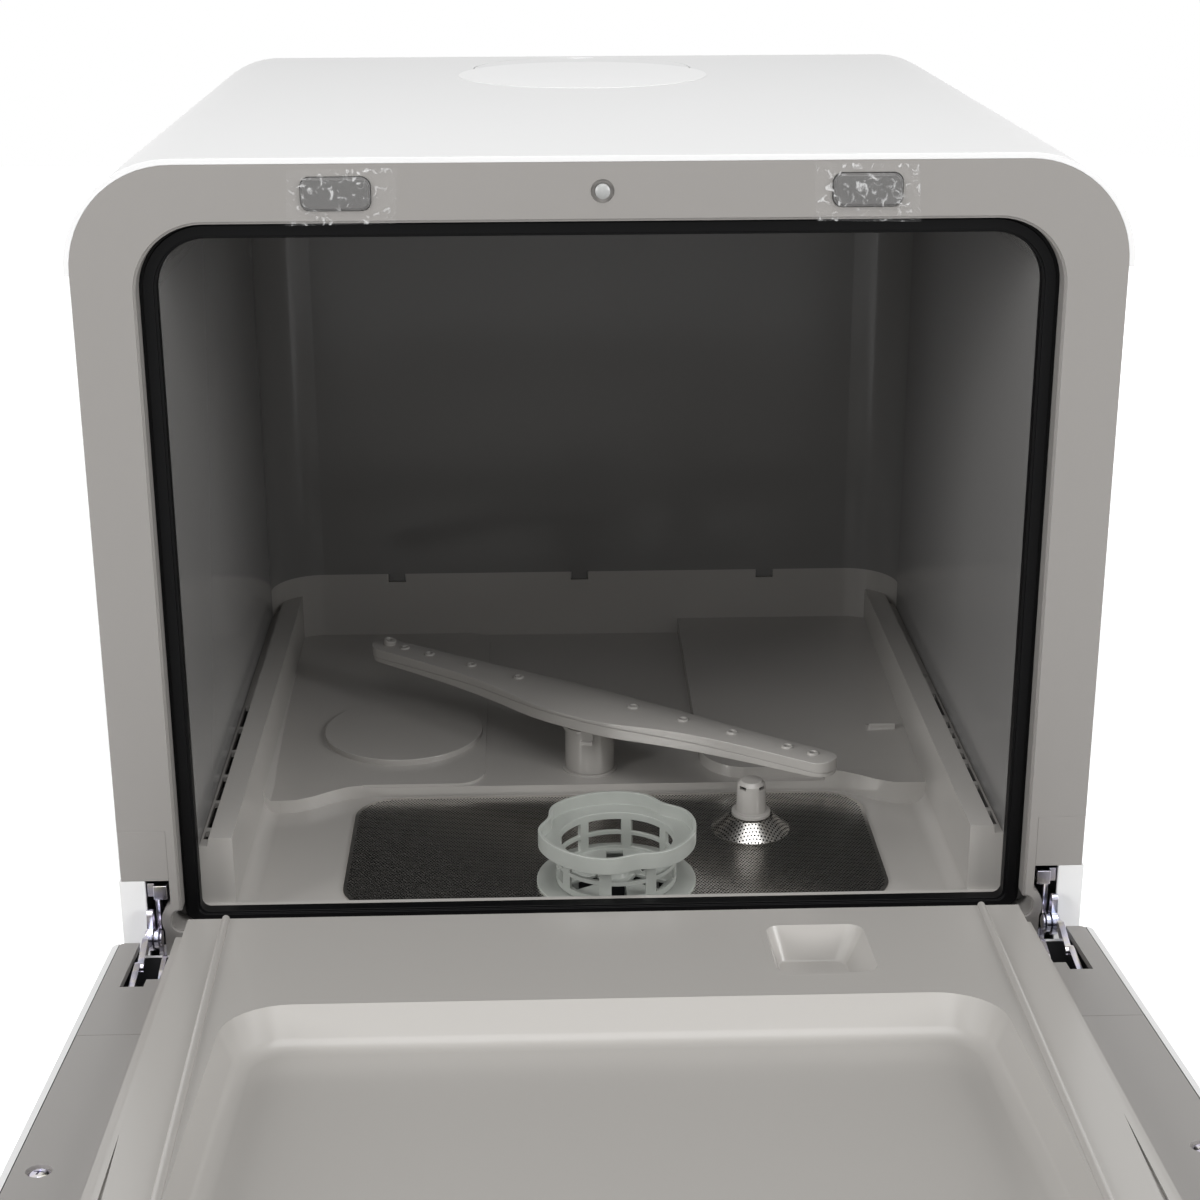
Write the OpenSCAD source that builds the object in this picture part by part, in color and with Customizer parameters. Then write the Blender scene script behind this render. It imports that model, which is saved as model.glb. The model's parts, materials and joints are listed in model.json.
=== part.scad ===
// Countertop dishwasher, standing on its feet with the door open.
// Millimetres, Z up, the front looks towards -Y. The origin is on the counter, at the middle of
// the whole object's length with the door open.

/* [Cabinet] */
// Overall width across the top cover
cab_w = 430; // [415:1:450]
// Overall height from the counter to the top
cab_h = 435; // [425:1:450]
// Depth from the front frame to the rear edge of the top cover
cab_d = 402; // [400:1:425]
// Wall of the casing parts
casing_t = 2.5; // [2:0.1:3]
// Outer radius of the two top corners
corner_r = 45; // [36:1:52]
// Height of the top cover's skirt below the top
skirt_h = 46; // [46:1:60]
// Step from the top cover in to the side panels
side_step = 1.5; // [1:0.1:2]
// Height of the rubber feet
foot_h = 12; // [8:1:16]
// Diameter of the rubber feet
foot_d = 26; // [20:1:32]

/* [Opening and tub] */
// Width of the front frame beside the opening
jamb_w = 28; // [27:0.5:31]
// Distance from the top down to the opening
open_drop = 26; // [24.5:0.5:30]
// Height of the sill over the counter
sill_z = 96.5; // [94.5:0.5:99]
// Radius of the opening's top corners
open_r = 28; // [20:1:34]
// Thickness of the rim round the opening
rim_t = 4.6; // [3.6:0.2:5]
// Depth of the rim behind the front face
rim_depth = 15; // [13:0.5:18]
// Width of the door gasket
gasket_w = 7; // [5:0.5:7.5]
// Depth of the door gasket
gasket_depth = 7; // [5:0.5:8]
// Depth of the water supply's space between the tub and the rear edge
rear_space = 57; // [56:1:67]
// Wall of the tub and of its base
tub_t = 2.5; // [2:0.1:3]
// Height of the joint between tub and tub base over the sill
joint_rise = 48.5; // [44.5:0.5:53.5]
// Height of the side rails over the sill
rail_rise = 36.5; // [32.5:0.5:38.5]
// Width of the side rails
rail_w = 10.5; // [9:0.5:12]
// Depth of the filter plate's seat below the sill
seat_sink = 3; // [2.5:0.5:4.5]

/* [Spray arm and filter] */
// Half length of the spray arm
arm_len = 142; // [120:1:146]
// Half width of the spray arm at the middle
arm_mid_hw = 19; // [16:0.5:22]
// Half width of the spray arm at its tips
arm_tip_hw = 8; // [7:0.5:10]
// Turn of the spray arm from the cabinet's width
arm_turn = -36.6; // [-45:0.1:-30]
// Height of the spray arm's upper face over the sill
arm_rise = 42.5; // [41.5:0.5:46.5]
// Radius of the spray hub
hub_r = 12.7; // [12:0.1:14]
// Radius of the filter's flange
filter_r = 37; // [35:0.5:40]
// Height of the filter cup above the plate
cup_h = 27; // [24:0.5:31]
// Distance from the floor's sides in to the filter plate, taken as a mean of both
plate_margin = 31; // [28:1:38]
// Travel of the float
float_travel = 4; // [2:0.5:4]

/* [Door] */
// Thickness of the door
door_t = 30; // [28:0.5:31]
// Gap between the closed door and the front frame
door_gap = 2.3; // [2.1:0.1:2.6]
// Angle of the open door from closed
open_deg = 83.7; // [80:0.1:88]
// Height of the liner's raised face over the door's side bands
plug_h = 10; // [8:0.5:10]
// Depth of the liner's pan below the raised face
pan_depth = 15; // [12:0.5:17]
// Width of the detergent cup
cup_w = 42; // [36:1:46]
// Length of the detergent cup
cup_l = 52; // [44:1:56]

/* [Controls] */
// Height of the control panel's upper edge over the counter
panel_top = 64; // [60:1:65]
// Diameter of the buttons
button_d = 14; // [12:0.5:16]
// Travel of the buttons
button_travel = 1; // [0.6:0.1:1.2]

/* [Hidden] */
$fn = 64;

// Colours, as the photo shows them
white = "#F4F4F2";
frame_grey = "#A3A09B";
tub_grey = "#6F6E6C";
rubber_black = "#111111";
zinc = "#C9CCD2";
steel = "#8C8C8C";
part_grey = "#8A8986";
dark_plastic = "#2B2C2E";

// Small shared fits
fit = 0.3;
run_fit = 0.05;
eps = 0.5;

// Cabinet heights and widths
hw = cab_w / 2;
inner_hw = hw - casing_t;
side_hw = hw - side_step;
open_hw = hw - jamb_w;
rim_hw = open_hw + rim_t;
open_top_z = cab_h - open_drop;
seat_z = sill_z - seat_sink;
rail_z = sill_z + rail_rise;
joint_z = sill_z + joint_rise;
corner_z = sill_z + 24.5;
pan_z = foot_h + casing_t;
pan_wall_z = foot_h + 24;
face_t = 3;
panel_t = 2;

// Gasket and tub
gasket_y = rim_depth - gasket_depth;
gasket_hw = open_hw - gasket_w;
gasket_top_z = open_top_z - gasket_w;
gasket_sill = 4.5;
tub_hw = gasket_hw + 0.5;
tub_top_z = gasket_top_z - 0.5;
tub_r = open_r - gasket_w;
tub_y0 = rim_depth;
tub_depth = cab_d - rear_space;
tub_corner_r = 28;
base_wall_y = tub_depth - tub_corner_r + 1;

// Tub base
floor_step_y = 144;
floor_front_z = seat_z + 5.5;
floor_rear_z = floor_front_z + 7;
floor_hw = tub_hw - 22.5;
rail_in = tub_hw - 15;
rail_out = rail_in + rail_w;
base_hw = rail_in + 1;
base_y0 = rim_depth + tub_t;
plate_x = 7;
plate_hw = floor_hw - plate_margin;
bend_in = floor_hw - 40;
bend_out = floor_hw - 4;
pocket_side_y = floor_step_y - 17;
platform_x = floor_hw - 103;
platform_front_z = floor_front_z + 6;
platform_rear_z = floor_rear_z + 9;
raised_x = 102 - floor_hw;
disc_x = 58 - floor_hw;
disc_y = 208;
disc_r = 42;
wedge_y = floor_step_y + 46;
slots_left = concat([[25, 8]], [for (i = [0 : 4]) [37 + 29.5 * i, 26.5]]);
slots_right = concat(
    [[27, 14], [45, 25], [74, 21]], [for (i = [0 : 3]) [100 + 13 * i, 8]], [[156, 29], [209, 5]]
);
floor_r = 14;
hook_x = [-110, -3, 106];
hook_hw = 4.7;
hook_h = 4.7;

// Filter, float and spray hub
filter_x = plate_x;
filter_y = 46;
plate_t = 0.8;
plate_top = seat_z + plate_t;
plate_y0 = base_y0 + 4;
plate_y1 = floor_step_y - 2;
float_x = 75;
float_y = 100;
float_r = 6.8;
float_flange_r = 9.5;
float_h = 18;
cone_h = 7.5;
cone_r = 19;
post_r = 3;
hub_x = -2;
hub_y = 165;
hub_z = sill_z + 29.5;
stub_r = 7;
arm_top = sill_z + arm_rise;
arm_crown_r = 46;
arm_seam = arm_top - 6;
collar_z = hub_z + fit;
arm_wall = 1.6;

// Hinge
hinge_y = -4;
hinge_below = 9.5;
door_z0 = sill_z + 8.2;
hinge_z = door_z0 - hinge_below;
door_z1 = cab_h - 1;
band_y = -door_gap;
door_out_y = band_y - door_t;
door_far_y = hinge_y + cos(open_deg) * (door_out_y - hinge_y) - sin(open_deg) * (door_z1 - hinge_z);
front_y = -(cab_d + door_far_y) / 2;
pin_r = 2.5;
bracket_x = rim_hw + 5.1;
bracket_t = 2;
lever_x = bracket_x + bracket_t + fit;
lever_t = 2.6;
recess_x = bracket_x + 5.5;
band_in_low = open_hw + 1.6;
band_in_high = open_hw - 5;
slot_in_x = band_in_low;
slot_mid_x = bracket_x - 2.7;
slot_out_x = bracket_x + 7.1;
flank_x = slot_in_x + 2.2;
slot_long = 48;
slot_short = 40.5;
cover_len = 95;

// Lid, tank and ports
lid_r = 58;
lid_y = cab_d - lid_r - 7;
lid_t = 3.5;
funnel_z = cab_h - 27;
tank_y0 = tub_depth + tub_t + 3.5;
tank_y1 = cab_d - 8;
spout_y = (tank_y0 + tank_y1) / 2;
spout_r = 12;
back_y = cab_d - 5;
port_z = foot_h + 30;
port_plate_y = cab_d - 30;
port_out_y = port_plate_y + panel_t + eps;
port_neck = 0.7;
valve_x = 112;
valve_r = 13.2;
drain_x = 152;
drain_r = 9.5;
port_x0 = valve_x - 24;
port_x1 = drain_x + 24;
port_z0 = port_z - 24;
port_z1 = port_z + 34;
gland_x = 55 - hw;
gland_z = foot_h + 38;
gland_r = 8;
fan_x = 90 - hw;
fan_z = cab_h - 75;
fan_half = 32;
screw_r = 1.6;
screw_x = hw - 15;
screw_z0 = foot_h + 13;
screw_z1 = cab_h - 59;
screw_spots = [for (x = [-screw_x, screw_x], i = [0 : 3]) [x, screw_z0 + i * (screw_z1 - screw_z0) / 3]];

// Latches, plunger and switch
latch_x = 105.5;
latch_z = cab_h - 14.2;
latch_w = 27.5;
latch_h = 13;
plunger_z = cab_h - 14;
plunger_r = 3;
plunger_end = 12.5;
plunger_travel = 2;

// Pump group under the tub
pump_x = 60;
pump_y = hub_y;
pump_w = 24;
pump_z = foot_h + 35;
pump_r = 30;
hose_r = 9;
hose_bore = 6.5;
sump_r = 34;
filter_bore_r = 28;
sump_z0 = foot_h + 24;
drain_pump_y = 60;

// Controls
button_z = foot_h + 26;
button_x0 = 60;
button_pitch = 32;
button_x = [for (i = [0 : 3]) button_x0 + i * button_pitch];
window_x = -70;
window_w = 90;
window_h = 24;
board_y = door_out_y + 13;

// Shapes in the plane
module round_rect(w, l, r) {
    square([w - 2 * r, l], center = true);
    square([w, l - 2 * r], center = true);
    for (x = [-1, 1], y = [-1, 1])
        translate([x * (w / 2 - r), y * (l / 2 - r)]) circle(r);
}

// Upright outline with half width a, from z0 to z1, top corners rt and bottom corners rb
module arch(a, z0, z1, rt, rb) {
    intersection() {
        translate([-a, z0]) square([2 * a, z1 - z0]);
        union() {
            translate([-a, z0 + rb]) square([2 * a, z1 - z0 - rb - rt]);
            translate([-a + rt, z0 + rb]) square([2 * (a - rt), z1 - z0 - rb]);
            for (x = [-1, 1]) translate([x * (a - rt), z1 - rt]) circle(rt);
            if (rb > 0) {
                translate([-a + rb, z0]) square([2 * (a - rb), z1 - z0 - rt]);
                for (x = [-1, 1]) translate([x * (a - rb), z0 + rb]) circle(rb);
            }
        }
    }
}

// Bar of width w between two points. Its straight is a hair narrower than its round ends.
module bar(p, q, w) {
    d = q - p;
    flat_w = w - 0.02;
    translate(p) rotate(atan2(d[1], d[0])) translate([0, -flat_w / 2]) square([norm(d), flat_w]);
    translate(p) circle(w / 2);
    translate(q) circle(w / 2);
}

// Extrusions along the width, the depth and round an axis
module along_x(x0, x1) {
    translate([x0, 0, 0]) rotate([90, 0, 90]) linear_extrude(x1 - x0) children();
}

module along_y(y0, y1) {
    translate([0, y1, 0]) rotate([90, 0, 0]) linear_extrude(y1 - y0) children();
}

module along_z(z0, z1) {
    translate([0, 0, z0]) linear_extrude(z1 - z0) children();
}

module rod_y(x, z, r, y0, y1) {
    translate([x, y0, z]) rotate([-90, 0, 0]) cylinder(h = y1 - y0, r = r);
}

module rod_x(y, z, r, x0, x1) {
    translate([x0, y, z]) rotate([0, 90, 0]) cylinder(h = x1 - x0, r = r);
}

module box(a, b) {
    translate(a) cube(b - a);
}

module mirrored(side) {
    if (side < 0) mirror([1, 0, 0]) children();
    else children();
}

module both_sides() {
    children();
    mirror([1, 0, 0]) children();
}

// The cabinet stands behind the front plane, and the door turns about the hinge
module cabinet() {
    translate([0, front_y, 0]) children();
}

module door() {
    translate([0, front_y + hinge_y, hinge_z])
        rotate([open_deg, 0, 0])
            translate([0, -hinge_y, -hinge_z])
                children();
}

// Casing
module top_cover() {
    color(white) cabinet() difference() {
        along_y(0, cab_d) difference() {
            arch(hw, cab_h - skirt_h, cab_h, corner_r, 0);
            arch(inner_hw, cab_h - skirt_h - eps, cab_h - casing_t, corner_r - casing_t, 0);
        }
        translate([0, lid_y, cab_h - 2 * casing_t]) cylinder(h = 4 * casing_t, r = lid_r + 2 * fit);
    }
}

module side_panel(side) {
    t = panel_t;
    flange_x = screw_x - 4.5;
    color(white) cabinet() mirrored(side) {
        box([side_hw - t, face_t, foot_h], [side_hw, cab_d, cab_h - skirt_h]);
        box([side_hw - t, 0, panel_top], [side_hw, face_t, corner_z]);
        box([recess_x, 0, panel_top], [side_hw - t, t, corner_z]);
        difference() {
            box([flange_x, back_y - 1.5, pan_wall_z + 1], [side_hw - t, back_y, cab_h - skirt_h - 1]);
            for (p = screw_spots) rod_y(abs(p[0]), p[1], screw_r + 0.1, back_y - 3, back_y + 1);
        }
    }
}

module vent_slots(x, z, rows, columns, length) {
    pitch_z = 8;
    for (i = [0 : columns - 1], j = [0 : rows - 1])
        translate([x + (i - (columns - 1) / 2) * (length + 6), z + (j - (rows - 1) / 2) * pitch_z])
            bar([-length / 2, 0], [length / 2, 0], 3.2);
}

module back_panel() {
    t = panel_t;
    color(white) cabinet() difference() {
        union() {
            along_y(back_y, back_y + casing_t)
                arch(side_hw - panel_t, foot_h, cab_h - casing_t, corner_r - casing_t, 0);
            box([port_x0, port_plate_y, port_z0], [port_x1, back_y, port_z1]);
        }
        box([port_x0 + t, port_plate_y + t, port_z0 + t], [port_x1 - t, cab_d, port_z1 - t]);
        along_y(back_y - 1, cab_d) {
            vent_slots(fan_x, fan_z, 6, 2, 26);
            vent_slots(-40, gland_z + 10, 8, 3, 34);
        }
        rod_y(valve_x, port_z, valve_r + fit, port_plate_y - 1, cab_d);
        rod_y(drain_x, port_z, drain_r + fit, port_plate_y - 1, cab_d);
        rod_y(gland_x, gland_z, gland_r, back_y - 1, cab_d);
        for (p = screw_spots) rod_y(p[0], p[1], screw_r + 0.1, back_y - 1, cab_d);
    }
}

module back_screws() {
    color(zinc) cabinet() for (p = screw_spots) {
        rod_y(p[0], p[1], screw_r + 2, back_y + casing_t, back_y + casing_t + 2);
        rod_y(p[0], p[1], screw_r, back_y - 8, back_y + casing_t + 1);
    }
}

module base_pan() {
    pw = side_hw - panel_t;
    gap = 2;
    color(part_grey) cabinet() difference() {
        box([-pw, face_t, foot_h], [pw, back_y, pan_wall_z]);
        box([-pw + casing_t, face_t + casing_t, pan_z], [pw - casing_t, back_y - casing_t, pan_wall_z + eps]);
        along_z(foot_h - 1, pan_z + eps) vent_slots(-60, cab_d - 82, 6, 3, 30);
        box([port_x0 - gap, port_plate_y - 1, port_z0 - 1], [port_x1 + gap, back_y + 1, pan_wall_z + 1]);
        for (p = screw_spots) rod_y(p[0], p[1], screw_r + 0.1, back_y - 2 * casing_t, back_y + 1);
    }
}

module feet() {
    r = foot_d / 2;
    foot_x = hw - 35;
    color(rubber_black) cabinet() for (x = [-foot_x, foot_x], y = [30, cab_d - 32])
        translate([x, y, 0]) difference() {
            cylinder(h = foot_h, r1 = r - 2, r2 = r);
            translate([0, 0, -1]) cylinder(h = 4, r = 4);
        }
}

// Front frame with the S-shaped rim at the sill
module rim_outline(grow) {
    flare = 4.4;
    flare_r = 4.2;
    arch(open_hw + grow, sill_z - grow, open_top_z + grow, open_r + grow, 6 + grow);
    arch(open_hw + flare + grow, sill_z - grow, sill_z + 9.5 + grow, flare_r + grow, flare_r + grow);
}

module front_frame() {
    block_top = joint_z;
    color(frame_grey) cabinet() difference() {
        union() {
            along_y(0, face_t) arch(inner_hw, block_top, cab_h - casing_t, corner_r - casing_t, 0);
            along_y(0, 10) difference() {
                arch(inner_hw, cab_h - skirt_h, cab_h - casing_t, corner_r - casing_t, 0);
                arch(inner_hw - 2, cab_h - skirt_h - 1, cab_h - casing_t - 2, corner_r - casing_t - 2, 0);
            }
            along_y(0, rim_depth) rim_outline(rim_t);
            along_y(0, face_t)
                translate([-rim_hw - 3.4, panel_top]) square([2 * (rim_hw + 3.4), sill_z - panel_top]);
            rod_y(0, plunger_z, 6, 0, 10);
        }
        along_y(-1, rim_depth + 1) rim_outline(0);
        along_y(-1, 0.9) rim_outline(0.9);
        for (x = [-latch_x, latch_x])
            along_y(-1, face_t + 1) translate([x, latch_z]) round_rect(latch_w + 2 * fit, latch_h + 2 * fit, 4);
        rod_y(0, plunger_z, 4.6, -1, 1.2);
        rod_y(0, plunger_z, plunger_r + run_fit, -1, 11);
    }
}

module frame_corner(side) {
    z0 = corner_z;
    x0 = rim_hw;
    x1 = side_hw - panel_t;
    depth = 14;
    low = joint_z - casing_t;
    color(frame_grey) cabinet() mirrored(side) {
        box([x0, 0, z0], [inner_hw, face_t, joint_z]);
        box([x0, face_t, low], [x1, depth, joint_z]);
        box([x0, face_t, z0], [x0 + panel_t, depth, low]);
        box([x1 - panel_t, face_t, z0], [x1, depth, low]);
    }
}

module door_gasket() {
    body_y = gasket_y + 1.2;
    r_in = open_r - gasket_w;
    color(rubber_black) cabinet() {
        along_y(body_y, rim_depth) difference() {
            arch(open_hw, sill_z, open_top_z, open_r, 6);
            arch(gasket_hw, sill_z + gasket_sill, gasket_top_z, r_in, 4);
        }
        along_y(gasket_y, body_y) difference() {
            arch(open_hw - 1.5, sill_z + 1, open_top_z - 1.5, open_r - 1.5, 5);
            arch(gasket_hw + 1, sill_z + gasket_sill - 1, gasket_top_z + 1, r_in + 1, 4);
        }
    }
}

module latch_magnet(side) {
    color(frame_grey) cabinet() mirrored(side) translate([latch_x, 0, latch_z]) {
        along_y(-1, face_t) round_rect(latch_w, latch_h, 3.8);
        along_y(-1.5, -1) round_rect(latch_w - 1.4, latch_h - 1.4, 3.2);
        along_y(face_t, face_t + 3) square([latch_w + 8, latch_h - 1], center = true);
    }
}

module door_plunger() {
    color(white) cabinet() {
        rod_y(0, plunger_z, plunger_r, -0.9, plunger_end);
        intersection() {
            rod_y(0, plunger_z, plunger_r, -2, 0);
            translate([0, 3.1, plunger_z]) sphere(r = 5);
        }
    }
}

module door_switch() {
    y0 = plunger_end + plunger_travel + 0.4;
    color(dark_plastic) cabinet() {
        box([-10, y0, plunger_z - 5], [10, y0 + 10, plunger_z + 6]);
        both_sides() box([10, face_t, plunger_z - 5], [13, y0 + 10, plunger_z + 6]);
    }
}

// Tub: a sleeve with a rear wall, on the moulded base
module tub_plan(grow) {
    r = tub_corner_r;
    translate([-tub_hw - grow, 0]) square([2 * (tub_hw + grow), tub_depth - r]);
    translate([-tub_hw + r, 0]) square([2 * (tub_hw - r), tub_depth + grow]);
    for (x = [-1, 1]) translate([x * (tub_hw - r), tub_depth - r]) circle(r + grow);
}

module tub() {
    z0 = sill_z + 0.5;
    color(tub_grey) cabinet() difference() {
        union() {
            intersection() {
                along_y(tub_y0, tub_depth + tub_t)
                    arch(tub_hw + tub_t, z0, tub_top_z + tub_t, tub_r + tub_t, 0);
                along_z(0, cab_h) tub_plan(tub_t);
            }
            along_y(tub_y0, tub_y0 + tub_t)
                arch(open_hw + rim_t, z0, open_top_z + rim_t, open_r + rim_t, 0);
        }
        intersection() {
            along_y(tub_y0 - 1, tub_depth) arch(tub_hw, z0 - 1, tub_top_z, tub_r, 0);
            along_z(0, cab_h) tub_plan(0);
        }
        box([-cab_w, base_wall_y, 0], [cab_w, cab_d, joint_z]);
    }
    color(tub_grey) cabinet() for (x = hook_x)
        box([x - hook_hw, tub_depth + tub_t / 2, joint_z - hook_h],
            [x + hook_hw, tub_depth + tub_t, joint_z + 1]);
}

// Tub base: floor, sunk seat for the filter plate, platform, disc and slotted rails
// The pocket's rear edge bends forward beside both rails
function pocket_edge(x) =
    let (t = min(1, max(0, (abs(x) - bend_in) / (bend_out - bend_in))))
    floor_step_y - (floor_step_y - pocket_side_y) * (1 - cos(180 * t)) / 2;

function edge_points(x0, x1, grow) =
    [for (i = [0 : 40]) let (x = x0 + (x1 - x0) * i / 40) [x, pocket_edge(x) + grow]];

module pocket_outline(grow) {
    y0 = base_y0 - tub_t;
    polygon(concat([[base_hw, y0], [-base_hw, y0]], edge_points(-base_hw, base_hw, grow)));
}

module floor_profile(front_z, rear_z) {
    polygon([
        [80, floor_front_z - tub_t], [floor_step_y, floor_front_z - tub_t],
        [tub_depth + 1, floor_rear_z - tub_t], [tub_depth + 1, rear_z], [floor_step_y, front_z], [80, front_z]
    ]);
}

// Rail with its foot rounded into a floor at floor_z
module rail_profile(floor_z) {
    gutter = 4;
    low = seat_z - tub_t;
    gz = rail_z - gutter;
    foot_r = rail_in - floor_hw;
    foot = [for (a = [0 : 15 : 90]) [floor_hw + foot_r * sin(a), floor_z + foot_r * (1 - cos(a))]];
    polygon(concat(
        [[floor_hw - 1, low], [floor_hw - 1, floor_z]],
        foot,
        [
            [rail_in, rail_z], [rail_out, rail_z], [rail_out + 0.8, gz], [tub_hw, gz],
            [tub_hw, gz - tub_t], [rail_out - 1.7, gz - tub_t], [rail_out - tub_t, rail_z - tub_t],
            [rail_in + tub_t, rail_z - tub_t], [rail_in + tub_t, low]
        ]
    ));
}

module rail_end() {
    gz = rail_z - 4;
    polygon([
        [rail_in, seat_z - tub_t], [rail_in, rail_z], [rail_out, rail_z], [rail_out + 0.8, gz],
        [tub_hw, gz], [tub_hw, seat_z - tub_t]
    ]);
}

// Raised field at the left, its front edge on the pocket's edge
module raised_outline() {
    difference() {
        union() {
            floor_patch(-base_hw - floor_r, raised_x, floor_step_y + eps, tub_depth);
            translate([-base_hw, 80]) square([base_hw - bend_in, floor_step_y + floor_r + 1 - 80]);
        }
        pocket_outline(0);
    }
}

// Platform at the right, its front edge on the pocket's edge beside the rail
module platform_outline() {
    r = 24;
    y0 = floor_step_y + 4;
    difference() {
        union() {
            translate([platform_x + r, y0]) square([base_hw - platform_x - r, tub_depth + 2 - y0]);
            translate([platform_x, y0 + r]) square([r + 1, tub_depth + 2 - y0 - r]);
            translate([platform_x + r, y0 + r]) circle(r);
            translate([bend_in - 1, 80]) square([base_hw - bend_in + 1, y0 + 1 - 80]);
        }
        pocket_outline(0);
    }
}

// Patch of the tub's floor with round corners
module floor_patch(x0, x1, y0, y1) {
    translate([(x0 + x1) / 2, (y0 + y1) / 2]) round_rect(x1 - x0, y1 - y0, floor_r);
}

module rail_slots(side, spots) {
    for (p = spots)
        mirrored(side) translate([0, p[0], rail_z - 12]) cube([tub_hw - 1, p[1], 12]);
}

module tub_base() {
    slot_x = rail_out + 1.4;
    color(part_grey) cabinet() difference() {
        union() {
            intersection() {
                difference() {
                    along_x(-base_hw, base_hw) floor_profile(floor_front_z, floor_rear_z);
                    along_z(0, cab_h) pocket_outline(0);
                }
                along_z(0, cab_h) tub_plan(1);
            }
            along_z(seat_z - tub_t, seat_z) pocket_outline(0);
            along_z(seat_z - tub_t, floor_front_z) difference() {
                pocket_outline(tub_t);
                pocket_outline(0);
            }
            box([-tub_hw, tub_y0, seat_z - tub_t], [tub_hw, base_y0, sill_z + gasket_sill]);
            intersection() {
                both_sides() {
                    along_y(base_y0, pocket_side_y + 1) rail_profile(seat_z);
                    along_y(pocket_side_y, tub_depth + 1) rail_profile(floor_front_z);
                    along_y(base_y0, base_y0 + tub_t) rail_end();
                }
                along_z(0, cab_h) tub_plan(1);
            }
            intersection() {
                along_z(sill_z + 0.5, joint_z) difference() {
                    tub_plan(tub_t);
                    tub_plan(0);
                }
                box([-cab_w, base_wall_y, 0], [cab_w, cab_d, joint_z]);
            }
            intersection() {
                along_x(-base_hw, raised_x) floor_profile(floor_front_z + 1.4, floor_rear_z + 1.4);
                along_z(0, cab_h) raised_outline();
            }
            intersection() {
                along_x(platform_x, base_hw) floor_profile(platform_front_z, platform_rear_z);
                along_z(0, cab_h) platform_outline();
            }
            translate([disc_x, disc_y, floor_front_z - 1]) cylinder(h = 6.5, r = disc_r);
            along_x(floor_hw - 12, floor_hw + 2)
                polygon([
                    [wedge_y, floor_front_z], [wedge_y, platform_front_z + 6], [wedge_y + 20, floor_front_z]
                ]);
            translate([hub_x, hub_y, seat_z - 8]) cylinder(h = floor_front_z - seat_z + 9.5, r = hub_r + 1.5);
            translate([float_x, float_y, seat_z - 1])
                cylinder(h = plate_t + cone_h + float_h + 1 - float_travel, r = post_r);
        }
        translate([filter_x, filter_y, seat_z - 9]) cylinder(h = 20, r = filter_bore_r);
        translate([hub_x, hub_y, 0]) cylinder(h = cab_h, r = 5);
        for (x = hook_x)
            box([x - hook_hw - fit, tub_depth - 1, joint_z - hook_h - fit],
                [x + hook_hw + fit, tub_depth + tub_t + 1, joint_z + 1]);
        difference() {
            union() {
                rail_slots(-1, slots_left);
                rail_slots(1, slots_right);
            }
            box([-slot_x, 0, 0], [slot_x, cab_d, cab_h]);
        }
    }
}

// Wash parts inside the tub
module spray_hub() {
    z0 = floor_front_z + 1.5;
    color(part_grey) cabinet() translate([hub_x, hub_y, 0]) difference() {
        union() {
            translate([0, 0, z0]) cylinder(h = hub_z - z0, r = hub_r);
            translate([0, 0, hub_z - 4]) cylinder(h = 2.4, r = hub_r + 1);
            translate([0, 0, hub_z]) cylinder(h = 5, r = stub_r);
        }
        translate([0, 0, z0 - 1]) cylinder(h = 40, r = 5);
    }
}

module filter_plate() {
    w = plate_y1 - plate_y0;
    color(steel) cabinet() difference() {
        union() {
            along_z(seat_z, plate_top)
                translate([plate_x, (plate_y0 + plate_y1) / 2]) round_rect(2 * plate_hw, w, 22);
            translate([float_x, float_y, plate_top])
                cylinder(h = cone_h, r1 = cone_r, r2 = float_flange_r + 1);
        }
        translate([filter_x, filter_y, seat_z - 1]) cylinder(h = 5, r = filter_bore_r);
        translate([float_x, float_y, seat_z - 1]) cylinder(h = 20, r = post_r + 1);
        translate([float_x, float_y, seat_z - plate_t])
            cylinder(h = cone_h, r1 = cone_r - 1, r2 = float_flange_r);
    }
}

module micro_filter() {
    depth = 44;
    r = filter_bore_r - fit;
    wall = 1.5;
    floor_t = 2;
    window_z = floor_t + 0.6;
    window_w = 10;
    window_h = depth - window_z - 6;
    color(part_grey) cabinet() translate([filter_x, filter_y, plate_top]) difference() {
        union() {
            intersection() {
                cylinder(h = 1.6, r = filter_r);
                translate([-filter_r, base_y0 + fit - filter_y, 0]) cube([2 * filter_r, 2 * filter_r, 3]);
            }
            translate([0, 0, -depth]) cylinder(h = depth, r = r);
        }
        translate([0, 0, floor_t - depth]) cylinder(h = depth + 4, r = r - wall);
        for (i = [0 : 11]) rotate(i * 30)
            translate([r - window_w / 2, -window_w / 2, window_z - depth])
                cube([window_w, window_w, window_h]);
    }
}

// Band of the cup: round, with three soft finger dents
module cup_outline(inset) {
    dent = 4.2;
    dent_w = 15;
    step = 4;
    polygon([
        for (a = [0 : step : 360 - step])
            let (
                off = min([for (d = [45, 165, 285]) min(abs(a - d), 360 - abs(a - d))]),
                r = filter_r - inset - dent * exp(-pow(off / dent_w, 2))
            )
            [r * cos(a), r * sin(a)]
    ]);
}

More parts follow.
